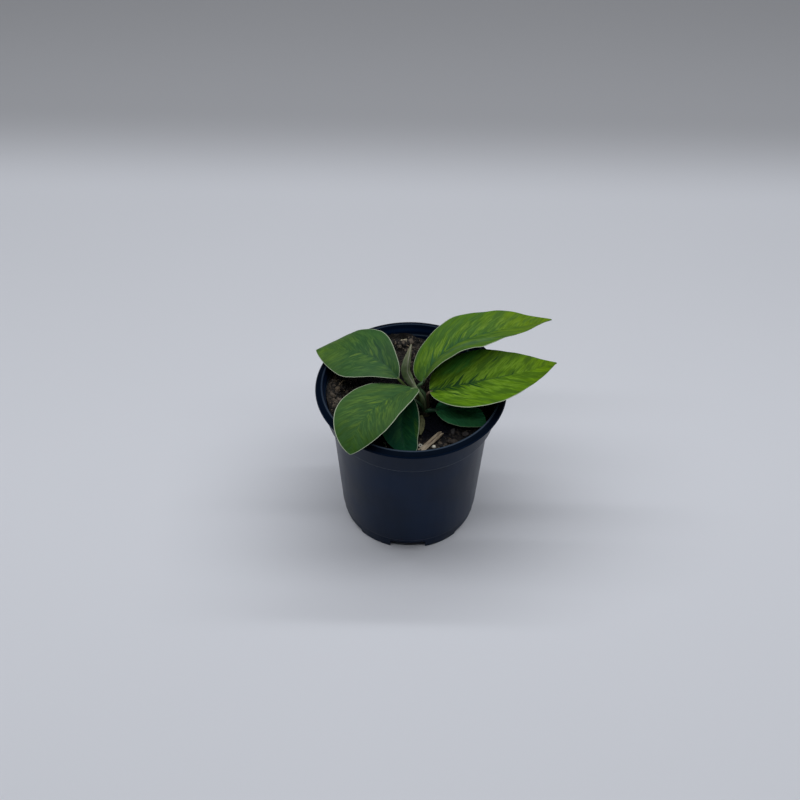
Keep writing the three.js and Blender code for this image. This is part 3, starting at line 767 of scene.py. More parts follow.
def rounded(profile, radius, steps=4):
    """The profile with each inner corner turned into an arc, of its own radius if it has one."""
    made = [profile[0]]
    for before, corner, after in zip(profile, profile[1:], profile[2:]):
        a, b, c = (np.array(p[:2], float) for p in (before, corner, after))
        reach_a, reach_c = np.linalg.norm(a - b), np.linalg.norm(c - b)
        wanted = corner[2] if len(corner) > 2 else radius
        cut = min(wanted, reach_a * 0.45, reach_c * 0.45)
        start, end = b + (a - b) / reach_a * cut, b + (c - b) / reach_c * cut
        for share in np.linspace(0, 1, steps + 1):
            curve = (1 - share) ** 2 * start + 2 * share * (1 - share) * b + share ** 2 * end
            made.append(tuple(curve))
    made.append(profile[-1])
    return made


def body_radius(z):
    """Outer radius of the body at a height."""
    share = (z - BODY_LOW_Z) / (LEDGE_Z - BODY_LOW_Z)
    return BODY_LOW_RADIUS + (BODY_TOP_RADIUS - BODY_LOW_RADIUS) * share


def band_radius(z):
    """Outer radius of the band under the lip at a height."""
    share = (z - LEDGE_Z) / (LIP_LOW_Z - LEDGE_Z)
    return BAND_LOW_RADIUS + (BAND_TOP_RADIUS - BAND_LOW_RADIUS) * share


def pot_profile():
    """Section of the pot from the middle of the base, round the outside, to the floor."""
    step_z = LEDGE_Z + POT_WALL
    inner_bead = band_radius(BEAD_Z) - POT_WALL
    return [
        (0, 0),
        (PAD_RADIUS, 0),
        (PAD_RADIUS, FLOOR_LOW_Z),
        (FOOT_INNER_RADIUS, FLOOR_LOW_Z),
        (FOOT_INNER_RADIUS, 0),
        (FOOT_RADIUS, 0),
        (FOOT_TOP_RADIUS, FOOT_TOP_Z),
        (BODY_LOW_RADIUS, BODY_LOW_Z),
        (BODY_TOP_RADIUS, LEDGE_Z),
        (BAND_LOW_RADIUS, LEDGE_Z, LEDGE_ROUNDING),
        (BAND_TOP_RADIUS, LIP_LOW_Z),
        (LIP_RADIUS - 0.6, LIP_LOW_Z),
        (LIP_RADIUS, LIP_LOW_Z + 0.5),
        (LIP_RADIUS - 0.7, LIP_EDGE_Z + 0.2, 1.0),
        (ROLL_RADIUS + 0.7, POT_HEIGHT - 0.3, 1.0),
        (ROLL_RADIUS - 0.2, POT_HEIGHT),
        (MOUTH_RADIUS, POT_HEIGHT),
        (MOUTH_RADIUS - 0.5, LIP_EDGE_Z),
        (inner_bead + BEAD_FADE * 0.03, BEAD_Z + BEAD_FADE),
        (inner_bead, BEAD_Z + 0.4),
        (inner_bead - BEAD_DEPTH, BEAD_Z),
        (BAND_LOW_RADIUS - POT_WALL, step_z),
        (BODY_TOP_RADIUS - POT_WALL, step_z),
        (body_radius(FLOOR_TOP_Z) - POT_WALL, FLOOR_TOP_Z),
        (0, FLOOR_TOP_Z),
    ]


def prism(outline, depth):
    """Points and faces of an outline in the XZ plane, pushed out along -Y by depth."""
    points = [(x, y, z) for y in (0, -depth) for x, z in outline]
    return points, tube_faces(2, len(outline))


def notch_outline(top):
    """Outline of the gap between two feet, up to its top."""
    half, corner = FEET.width / 2, FEET.corner
    arc = [math.radians(a) for a in (0, 30, 60, 90)]
    right = [(half - corner + corner * math.cos(a), top - corner + corner * math.sin(a))
             for a in arc]
    left = [(-x, z) for x, z in reversed(right)]
    return [(-half, -1), (half, -1), *right, *left]


def pot_cutters():
    """One mesh of the bars that cut the notches and the plugs that cut the drains."""
    parts = []
    for i in range(FEET.count):
        top = FEET.heights[i % len(FEET.heights)]
        bar, bar_faces = prism(notch_outline(top), NOTCH_DEPTH)
        heading = FEET.first + 360 / FEET.count * i + 90
        parts.append((turned_about_z(moved(bar, 0, -NOTCH_START), heading), bar_faces))
    low, high = FLOOR_LOW_Z - 3, FLOOR_TOP_Z + 3
    outline = [(0, low), (DRAINS.radius, low), (DRAINS.radius, high), (0, high)]
    plug, plug_faces = lathe(outline, 32)
    for i in range(DRAINS.count):
        heading = DRAINS.first + 360 / DRAINS.count * i
        parts.append((turned_about_z(moved(plug, DRAINS.circle, 0), heading), plug_faces))
    return merged(parts)


def pot_plastic(name, look, sheen, depth):
    """Near-black moulded plastic: fine grain, faint flow marks and dust, with painted highlights
    on the ledge, the lip's crest and the inner bead, and painted shade on the lip.
    """
    s = Shader(name, IOR=1.35, Specular_IOR_Level=sheen, Specular_Tint=(0.64, 0.84, 1.0),
               Coat_Roughness=0.42)
    facing = s.node("ShaderNodeLayerWeight", output="Facing", Blend=0.5)
    s.feed(s.surface.inputs["Coat Weight"], facing.step(0.45, 0.95) * 0.30 * depth)
    place = s.place()
    x, y, z = s.parts(place)
    radius = (x * x + y * y) ** 0.5
    grain = s.noise(place, 2600.0, 3.0, 0.6)
    cloud = s.noise(place, 28.0, 3.0)
    flow = s.noise(s.scaled(place, (1.0, 1.0, 0.12)), 260.0, 2.0)
    dust = s.noise(place, 900.0, 4.0, 0.7).step(0.60, 0.74)
    low = z.step(0.020, 0.0) * 0.5
    # Depth scales the colour: below 1 it paints shade, as on the lip's darker copy of this
    # plastic
    colour = s.blend(cloud.step(0.35, 0.7), [c * depth for c in look.colour],
                     [c * depth * 1.5 for c in look.colour])
    colour = s.blend(dust * (0.10 + low) * depth, colour, (0.060, 0.058, 0.055))
    # Painted shade: darker from just under the lip upwards
    lip = z.step((LIP_LOW_Z - 0.5) * MM, (LIP_LOW_Z + 1.0) * MM) * 0.5
    colour = s.blend(lip, colour, [c * depth * 0.15 for c in look.colour])
    # Painted highlights: a line on the ledge's rounded edge, one on the lip's crest that is
    # stronger at the front, and one on the inner bead
    ledge = z.band(((LEDGE_Z - 0.5) * MM, LEDGE_Z * MM),
                   ((LEDGE_Z + 1.3) * MM, (LEDGE_Z + 0.6) * MM))
    ledge = ledge * radius.step((BODY_TOP_RADIUS + 0.9) * MM, (BODY_TOP_RADIUS + 1.5) * MM)
    brow = z.step((POT_HEIGHT - 0.5) * MM, (POT_HEIGHT - 0.2) * MM)
    brow = brow * radius.step((ROLL_RADIUS + 0.6) * MM, (ROLL_RADIUS + 0.2) * MM)
    brow = brow * (0.50 + y.step(0.0, -0.03) * 0.40)
    bead = z.band(((BEAD_Z - 0.3) * MM, (BEAD_Z + 0.2) * MM),
                  ((BEAD_Z + 1.5) * MM, (BEAD_Z + 0.9) * MM))
    bead = bead * radius.step((BAND_TOP_RADIUS - 0.8) * MM, (BAND_TOP_RADIUS - 1.2) * MM)
    painted_highlight = s.strongest([ledge * 0.9, brow, bead * 0.9])
    s.colour(s.blend(painted_highlight, colour, look.edge_colour))
    s.roughness(look.roughness + (cloud - 0.5) * 0.16 + (flow - 0.5) * 0.10 + dust * 0.1
                + (1.0 - depth) * 0.4)
    s.bump(grain + flow * 0.6, 0.04 * MM, 0.6)
    return s.material


class HOMALOMENA_OT_pot(bpy.types.Operator):
    """Make the nursery pot with its feet and drain holes"""

    bl_idname = "homalomena.pot"
    bl_label = "Pot"

    def execute(self, context):
        look = context.scene.homalomena_pot
        profile = rounded(pot_profile(), look.edge / MM)
        points, faces = lathe(profile, look.segments)
        pot = new_mesh_object("pot_shell", points, faces)
        cutter = new_mesh_object("pot_cutter", *pot_cutters())
        cut = pot.modifiers.new("cut", "BOOLEAN")
        cut.operation = "DIFFERENCE"
        cut.solver = "EXACT"
        cut.object = cutter
        settle_modifiers(pot)
        remove(cutter)
        smooth(pot.data, 38)
        body = pot_plastic("pot_plastic", look, 0.20, 1.0)
        # The lip gets a copy of the plastic with its colour scaled down by depth: painted shade
        lip = pot_plastic("pot_lip", look, 0.07, 0.45)
        finish_piece(pot, [body, lip], "pot_plastic", "pot")
        for face in pot.data.polygons:
            middle = face.center / MM
            on_lip = middle.xy.length > LIP_SEAM_RADIUS and middle.z > LIP_SEAM_Z
            face.material_index = int(on_lip)
        return {"FINISHED"}


def soil_height(x, y):
    """Height of the soil before its fine relief."""
    z = SOIL_MEAN_Z + SOIL_BACK_RISE * y
    for height, fx, fy, phase in SOIL_LUMPS:
        z = z + height * np.sin(fx * x + fy * y + phase)
    return z


def flat_box(node):
    """Left, front, right and back of a node."""
    low, high = (in_mm(corner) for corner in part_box(node))
    return low[0], low[1], high[0], high[1]


BIT_BOXES = [flat_box(node) for node in SMALL_BITS + LARGE_BITS]


def eased(share):
    """A share held between 0 and 1, with a soft start and end."""
    share = min(1.0, max(0.0, share))
    return share * share * (3 - 2 * share)


def bank_height(x, y):
    """Rise of the soil against the pot's wall, at the left and at the back."""
    turn = (math.degrees(math.atan2(y, x)) - BANK.middle + 180) % 360 - 180
    side = eased((BANK.half + BANK.fade - abs(turn)) / BANK.fade)
    reach = (math.hypot(x, y) - BANK.inner) / (SOIL_RADIUS - 2 - BANK.inner)
    return BANK.height * side * eased(reach)


def soil_relief(x, y, relief):
    """Fine relief and bank added to the soil, less of both under the bits on it."""
    spot = Vector((x, y, 0))
    rough = noise.fractal(spot * 0.14, 0.9, 2.1, 3) * 0.9
    rough += noise.fractal(spot * 0.55 + Vector((7, 3, 0)), 0.8, 2.1, 3) * 0.45
    calm, lift = 1.0, 1.0
    for left, front, right, back in BIT_BOXES:
        gap = math.hypot(max(left - x, 0, x - right), max(front - y, 0, y - back))
        calm = min(calm, 0.12 + 0.88 * min(1.0, gap / 3.0))
        lift = min(lift, 0.2 + 0.8 * min(1.0, gap / 1.0))
    wall = max(0.0, math.hypot(x, y) - SOIL_RADIUS + 4) / 4
    bank = bank_height(x, y)
    lumps = relief * (rough - 0.25) * (1 + 0.12 * bank)
    return calm * lumps + lift * bank - 0.5 * wall ** 2


def soil_grid(relief, inner, outer, grid):
    """Rings of surface points from round the crown out to a radius."""
    rows = []
    for share in np.linspace(0, 1, grid.rings):
        row = []
        for c, s, _ in circle(1.0, 0, grid.sides):
            x = (CROWN.x + inner * c) * (1 - share) + outer * c * share
            y = (CROWN.y + inner * s) * (1 - share) + outer * s * share
            row.append((x, y, soil_height(x, y) + soil_relief(x, y, relief)))
        rows.append(row)
    return rows


def leaf_shade(s, place):
    """Mask of the painted shade that the leaves cast on the soil."""
    x, y = s.parts(place)[:2]
    masks = []
    for middle_x, middle_y, radius, strength in SHADE_SPOTS:
        right, back = x - middle_x * MM, y - middle_y * MM
        away = (right * right + back * back) ** 0.5
        masks.append(away.step(radius * MM, radius * 0.55 * MM) * strength)
    return s.strongest(masks)


def soil_material(look):
    """Peat: dark, with brown patches, and painted shade under the leaves."""
    s = Shader("soil_peat", Specular_IOR_Level=0.15)
    place = s.place()
    patch = s.noise(place, 90.0, 4.0, 0.6)
    speck = s.noise(place, 900.0, 5.0, 0.7)
    mask = (patch * 0.6 + speck * 0.5).step(0.48, 0.72)
    colour = s.blend(mask, look.dark, [c * 0.55 for c in look.brown])
    s.colour(s.blend(leaf_shade(s, place), colour, look.leaf_shade))
    s.roughness(0.95 - speck * 0.15)
    s.bump(speck + patch * 0.5, 0.7 * MM)
    return s.material


def crumb_material(name, look, pale):
    """Crumbs that each have a tint of their own, from dark to brown to a pale colour, and
    painted shade under the leaves.
    """
    s = Shader(name, Specular_IOR_Level=0.15)
    tint = s.attribute("tint")
    place = s.place()
    speck = s.noise(place, 1400.0, 4.0, 0.65)
    stops = [(0.0, look.dark), (0.42, [c * 1.8 for c in look.dark]), (0.72, look.brown),
             (0.93, [c * 1.5 for c in look.brown]), (1.0, pale)]
    ramp = s.node("ShaderNodeValToRGB", {"stops": stops}, "Color", Fac=tint)
    colour = s.blend(speck.step(0.35, 0.75) * 0.6, ramp, look.dark)
    s.colour(s.blend(leaf_shade(s, place), colour, look.leaf_shade))
    s.roughness(0.9 - speck * 0.1)
    s.bump(speck, 0.25 * MM)
    return s.material


class Scatter(Nodes):
    """A node tree that strews small shapes over a surface."""

    inputs = (
        ("Geometry", "NodeSocketGeometry"),
        ("Density", "NodeSocketFloat"),
        ("Seed", "NodeSocketInt"),
        ("Size", "NodeSocketFloat"),
        ("Spread", "NodeSocketFloat"),
        ("Roughness", "NodeSocketFloat"),
        ("Tint From", "NodeSocketFloat"),
        ("Tint To", "NodeSocketFloat"),
        ("Material", "NodeSocketMaterial"),
    )

    def __init__(self, name):
        super().__init__(bpy.data.node_groups.new(name, "GeometryNodeTree"))
        for label, kind in self.inputs:
            self.tree.interface.new_socket(label, in_out="INPUT", socket_type=kind)
        self.result = self.tree.interface.new_socket(
            "Geometry", in_out="OUTPUT", socket_type="NodeSocketGeometry")
        self.source = self.node("NodeGroupInput").socket.node

    def given(self, label):
        """The value of one of the tree's own inputs."""
        return Value(self, self.source.outputs[label])

    def random(self, low, high, offset):
        """A random number for each element, with its own offset of the seed."""
        return self.node("FunctionNodeRandomValue", {"data_type": "FLOAT"}, "Value_001",
                         Min_001=low, Max_001=high, Seed=self.given("Seed") + offset)

    def build(self, shape, stretch, tilt):
        """Strews the shape, with a random stretch on each axis and a random tilt."""
        spots = self.node(
            "GeometryNodeDistributePointsOnFaces", Mesh=self.given("Geometry"),
            Density=self.given("Density"), Seed=self.given("Seed"))
        grown = self.random(0.0, 1.0, 11) ** 3.0 * self.given("Spread") + 1.0
        sides = [self.random(low, high, 20 + k) for k, (low, high) in enumerate(stretch)]
        size = self.given("Size") * grown
        turns = [self.random(-tilt, tilt, 30), self.random(-tilt, tilt, 31),
                 self.random(0.0, 2 * math.pi, 32)]
        strewn = self.node(
            "GeometryNodeInstanceOnPoints", Points=spots, Instance=shape,
            Rotation=self.vector(*turns), Scale=self.vector(*[size * k for k in sides]))
        tinted = self.node(
            "GeometryNodeStoreNamedAttribute", {"data_type": "FLOAT", "domain": "INSTANCE"},
            Geometry=strewn, Name="tint",
            Value=self.random(self.given("Tint From"), self.given("Tint To"), 40))
        solid = self.node("GeometryNodeRealizeInstances", Geometry=tinted)
        place = self.node("GeometryNodeInputPosition")
        wobble = self.node("ShaderNodeTexNoise", None, "Color", Vector=place, Scale=700.0,
                           Detail=2.0)
        centred = self.node("ShaderNodeVectorMath", {"operation": "SUBTRACT"},
                            Vector=wobble, Vector_001=(0.5, 0.5, 0.5))
        pushed = self.node("ShaderNodeVectorMath", {"operation": "SCALE"}, Vector=centred,
                           Scale=self.given("Roughness"))
        rough = self.node("GeometryNodeSetPosition", Geometry=solid, Offset=pushed)
        faced = self.node("GeometryNodeSetMaterial", Geometry=rough,
                          Material=self.given("Material"))
        self.node("NodeGroupOutput", **{self.result.identifier: faced})

    def strew(self, name, ground, values):
        """Runs the tree on a ground object and returns a new object of what it strews."""
        thing = bpy.data.objects.new(name, ground.data)
        bpy.context.scene.collection.objects.link(thing)
        modifier = thing.modifiers.new(name, "NODES")
        modifier.node_group = self.tree
        for item in self.tree.interface.items_tree:
            if item.in_out == "INPUT" and item.name in values:
                modifier[item.identifier] = values[item.name]
        settle_modifiers(thing)
        return thing


def strewing_ground(relief, gap, banked):
    """The soil's surface up to a gap from its edge, or only the raised bank of it."""
    sides = GROUND_GRID.sides
    rows = soil_grid(relief, CROWN.hole + 0.8, SOIL_RADIUS - gap, GROUND_GRID)
    points = [p for row in rows for p in row]
    kept = BIT_BOXES if banked else BIT_BOXES[:len(SMALL_BITS)]
    faces = []
    for face in tube_faces(len(rows), sides)[:-2]:
        x, y = points[face[0]][:2]
        free = not any(a < x < c and b < y < d for a, b, c, d in kept)
        if free and (not banked or bank_height(x, y) > 0.35 * BANK.height):
            faces.append((face[0], *face[:0:-1]))
    return new_mesh_object("strewing_ground", points, faces)


def crumb_tree(name, subdivisions):
    """A tree that strews stretched crumbs."""
    scatter = Scatter(name)
    shape = scatter.node("GeometryNodeMeshIcoSphere", Radius=1.0, Subdivisions=subdivisions)
    scatter.build(shape, ((0.7, 1.3), (0.6, 1.1), (0.45, 0.9)), 0.8)
    return scatter


def fibre_tree():
    """A tree that strews thin fibres, laid flat."""
    scatter = Scatter("soil_fibre_scatter")
    shape = scatter.node("GeometryNodeMeshCylinder", Vertices=5, Radius=1.0, Depth=2.0,
                         **{"Side Segments": 3})
    laid = scatter.node("GeometryNodeTransform", Geometry=shape,
                        Rotation=(0.0, math.pi / 2, 0.0))
    scatter.build(laid, ((0.8, 2.4), (0.10, 0.26), (0.10, 0.22)), 0.30)
    return scatter


class HOMALOMENA_OT_soil(bpy.types.Operator):
    """Make the soil with its crumbs and fibres"""

    bl_idname = "homalomena.soil"
    bl_label = "Soil"

    def execute(self, context):
        look = context.scene.homalomena_soil
        self.make_bed(look)
        area = math.pi * (SOIL_RADIUS * MM) ** 2
        densities = {
            "soil_fine_crumbs": look.fine_count / area,
            "soil_coarse_crumbs": look.coarse_count / area,
            "soil_bank_clods": look.clod_density,
            "soil_fibres": look.fibre_count / area,
        }
        trees = {
            "crumb": crumb_tree("soil_crumb_scatter", 1),
            "clod": crumb_tree("soil_clod_scatter", 2),
            "fibre": fibre_tree(),
        }
        for layer in STREWN:
            material = crumb_material(layer.material, look, layer.pale)
            ground = strewing_ground(look.relief / MM, layer.gap, layer.banked)
            crumbs = trees[layer.tree].strew(layer.piece, ground, {
                "Density": densities[layer.piece],
                "Seed": layer.seed,
                "Size": layer.size * MM,
                "Spread": layer.spread,
                "Roughness": layer.roughness * MM,
                "Tint From": layer.tints[0],
                "Tint To": layer.tints[1],
                "Material": material,
            })
            remove(ground)
            finish_piece(crumbs, [material], "soil")
        return {"FINISHED"}

    def make_bed(self, look):
        """The solid soil, from its uneven top down to the pot's floor."""
        sides = BED_GRID.sides
        rows = soil_grid(look.relief / MM, CROWN.hole - 0.2, SOIL_RADIUS, BED_GRID)
        inner = [(x, y, CROWN.low - SOIL_GAP) for x, y, _ in rows[0]]
        step_z = LEDGE_Z + POT_WALL + SOIL_GAP
        low_z = FLOOR_TOP_Z + SOIL_GAP
        rows.append(circle(band_radius(step_z) - POT_WALL - 0.8, step_z, sides))
        rows.append(circle(body_radius(LEDGE_Z) - POT_WALL - SOIL_GAP, step_z, sides))
        rows.append(circle(body_radius(low_z) - POT_WALL - SOIL_GAP, low_z, sides))
        rows.reverse()
        rows.append(inner)
        points = [p for row in rows for p in row]
        bed = new_mesh_object("soil_bed", points, tube_faces(len(rows), sides), None, 60)
        finish_piece(bed, [soil_material(look)], "soil", "soil")


def spine(leaf, share):
    """Points of the midrib at shares of its length."""
    fine = 800
    t = (np.arange(fine) + 0.5) / fine
    heading, pitch = np.radians(along(leaf.heading, t)), np.radians(along(leaf.pitch, t))
    step = leaf.length / fine
    flat = step * np.cos(pitch)
    moves = np.stack([flat * np.cos(heading), flat * np.sin(heading), step * np.sin(pitch)], 1)
    points = np.vstack([leaf.base, leaf.base + np.cumsum(moves, axis=0)])
    at = np.linspace(0, 1, fine + 1)
    return np.stack([np.interp(share, at, points[:, k]) for k in range(3)], axis=-1)


def blade_axes(leaf, share):
    """Right and up directions of the blade at shares of its length."""
    heading, pitch, roll = (
        np.radians(along(ends, share)) for ends in (leaf.heading, leaf.pitch, leaf.roll))
    flat = np.cos(pitch)
    forward = np.stack([flat * np.cos(heading), flat * np.sin(heading), np.sin(pitch)], -1)
    level = np.stack([np.sin(heading), -np.cos(heading), 0 * heading], -1)
    over = np.cross(level, forward)
    right = level * np.cos(roll)[..., None] + over * np.sin(roll)[..., None]
    return right, np.cross(right, forward)


def half_width(leaf, share):
    """Half of a blade's width at shares of its length, before its lean and its bulges."""
    a, b = leaf.shoulder, leaf.taper
    peak = a / (a + b)
    shape = share ** a * (1 - share) ** b / (peak ** a * (1 - peak) ** b)
    least = BASE_HALF + (TIP_HALF - BASE_HALF) * share
    return np.hypot(shape * leaf.width / 2, least)


def reach_to_margin(leaf, share, side):
    """Distance from the midrib to the margin, on the right where the side is 1."""
    half = half_width(leaf, share) * (1 + side * leaf.lean)
    ends = np.clip(share / 0.03, 0, 1) ** 0.5 * np.clip((1 - share) / 0.04, 0, 1)
    for bulge_side, amount, middle, spread in leaf.bulges:
        bulge = amount * np.exp(-((share - middle) / spread) ** 2) * ends
        half = half + (side * bulge_side > 0) * bulge
    return half


def vein_coordinate(run, out):
    """Where on the midrib, in millimetres, the side vein through a point starts."""
    return run - VEIN_SLANT * out - VEIN_BEND * out ** 2


def with_relief(rise, leaf, look, t, share, side, out, fold):
    """The rise of a blade with its waves, its ruffled margin, its swells and its soft fold."""
    size, count, phase = leaf.wave
    swing = 2 * np.pi * count * t + phase + side
    ends = 4 * t * (1 - t)
    rise = rise + size * share ** 2 * np.sin(swing) * ends
    ruffle = np.sin(RUFFLE.pace * swing + RUFFLE.offset * side)
    rise = rise + RUFFLE.height * share ** 4 * ruffle * ends
    start = vein_coordinate(t * leaf.length, out)
    veins = np.cos(2 * np.pi * start / (look.vein_spacing / MM))
    fade = (1 - share ** 3) * np.clip(out / 1.5, 0, 1) * ends
    rise = rise - look.quilting / MM * 0.5 * veins * fade
    return rise + np.sin(fold) * FOLD_ROUNDING * np.exp(-out / FOLD_ROUNDING) * ends


def blade_sheet(leaf, rows, columns, look):
    """Top and bottom of a blade as grids, and what its pattern needs at each point."""
    even = np.linspace(0, 1, rows)
    t = even - 0.9 * np.sin(2 * np.pi * even) / (2 * np.pi)
    centre = spine(leaf, t)[:, None]
    right, up = (axis[:, None] for axis in blade_axes(leaf, t))
    t = t[:, None]
    shares = np.concatenate([-columns[::-1], columns[1:]])[None]
    side = np.where(shares < 0, -1.0, 1.0)
    share = np.abs(shares)
    half = reach_to_margin(leaf, t, side)
    out = half * share
    fold = np.radians(leaf.fold[0] + leaf.fold[1] * (2 * t - 1))
    curl = math.radians(leaf.curl)
    angle = fold + curl * share
    across = half * (np.sin(angle) - np.sin(fold)) / curl
    rise = half * (np.cos(fold) - np.cos(angle)) / curl
    rise = with_relief(rise, leaf, look, t, share, side, out, fold)
    top = centre + right * (side * across)[..., None] + up * rise[..., None]
    slope = np.where(share > 0, angle, 0.0)
    normal = up * np.cos(slope)[..., None] - right * (side * np.sin(slope))[..., None]
    sheet = look.sheet / MM * (1 - MARGIN_THINNING * share ** 4)
    keel = look.keel / MM * np.exp(-(out / KEEL_SPREAD) ** 2) * (1 - 0.75 * t)
    groove = GROOVE.depth * np.exp(-(out / GROOVE.spread) ** 2) * (1 - 0.7 * t)
    return SimpleNamespace(
        top=top - normal * groove[..., None], bottom=top - normal * (sheet + keel)[..., None],
        outward=right * side[..., None], run=t * leaf.length + 0 * out, mid=out * side,
        edge=half - out)


def blade_mesh(sheet):
    """Closed points, faces and attributes of a blade from its two grids."""
    rows, columns = sheet.run.shape
    middle = (sheet.top + sheet.bottom) / 2
    right_rim = middle[:, -1:] + BLADE_RIM * sheet.outward[:, -1:]
    left_rim = middle[:, :1] + BLADE_RIM * sheet.outward[:, :1]

    def ringed(over, right, under, left):
        return np.concatenate([over, right, under[:, ::-1], left], axis=1)

    zero, one = np.zeros((rows, columns)), np.ones((rows, columns))
    no_edge, halfway = np.zeros((rows, 1)), np.full((rows, 1), 0.5)
    attributes = {
        key: ringed(grid, grid[:, -1:], grid, grid[:, :1])
        for key, grid in (("run", sheet.run), ("mid", sheet.mid))
    }
    attributes["edge"] = ringed(sheet.edge, no_edge, sheet.edge, no_edge)
    attributes["under"] = ringed(zero, halfway, one, halfway)
    rings = ringed(sheet.top, right_rim, sheet.bottom, left_rim)
    ring = 2 * columns + 2
    faces = tube_faces(rows, ring)[:-2]
    end = (rows - 1) * ring
    for j in range(columns - 1):
        below = 2 * columns - j
        faces.append((j, below, below - 1, j + 1))
        faces.append((end + j, end + j + 1, end + below - 1, end + below))
    c = columns
    faces += [(c - 1, c + 1, c), (0, 2 * c + 1, 2 * c)]
    faces += [(end + c - 1, end + c, end + c + 1), (end, end + 2 * c, end + 2 * c + 1)]
    return rings.reshape(-1, 3), faces, {k: v.ravel() for k, v in attributes.items()}


def path_reach(path):
    """Even shares of a path's length, in millimetres, at its points."""
    return np.linspace(0, np.linalg.norm(np.diff(path, axis=0), axis=1).sum(), len(path))


def stalk_rings(leaf, thick):
    """Rings of a leaf stalk: a broad clasping foot, a channelled middle, then the keel."""
    rings, sides = STALK.rings, STALK.sides
    turn = math.radians(leaf.foot_angle)
    outward = STALK.circle * np.array([math.cos(turn), math.sin(turn), 0.0])
    foot = outward + (CROWN.x, CROWN.y, STALK.foot_z)
    neck = [spine(leaf, share) - (0, 0, 0.75) for share in (0.0, 3.2 / leaf.length)]
    path = smooth_path([foot, *leaf.stalk, *neck], rings)
    normals, binormals = path_axes(path, outward)
    reach = path_reach(path)
    share = np.linspace(0, 1, rings)
    radii = (STALK.foot_radius, 0.8 * thick, 0.85 * math.sqrt(thick), STALK.neck_radius)
    radius = np.interp(share, (0, 0.5, 0.85, 1), radii)
    clasp = np.exp(-(np.clip(reach - STALK.clasp_start, 0, None) / STALK.clasp_fade) ** 2)
    angles = 2 * np.pi * np.arange(sides) / sides
    out, wide = np.cos(angles)[None], np.sin(angles)[None]
    inner = np.abs(angles - np.pi) / STALK.channel_spread
    channel = STALK.channel * np.exp(-inner ** 2)[None]
    inward = 1 - channel * (1 - clasp[:, None]) * np.clip(1.2 - share, 0, 1)[:, None]
    ribs = 1 + STALK.rib_height * np.cos(STALK.ribs * angles)[None]
    around = radius[:, None] * inward * ribs
    broad = 1 + STALK.clasp_width * clasp[:, None]
    points = (path[:, None]
              + normals[:, None] * (around * out)[..., None]
              + binormals[:, None] * (around * broad * wide)[..., None])
    return points, reach


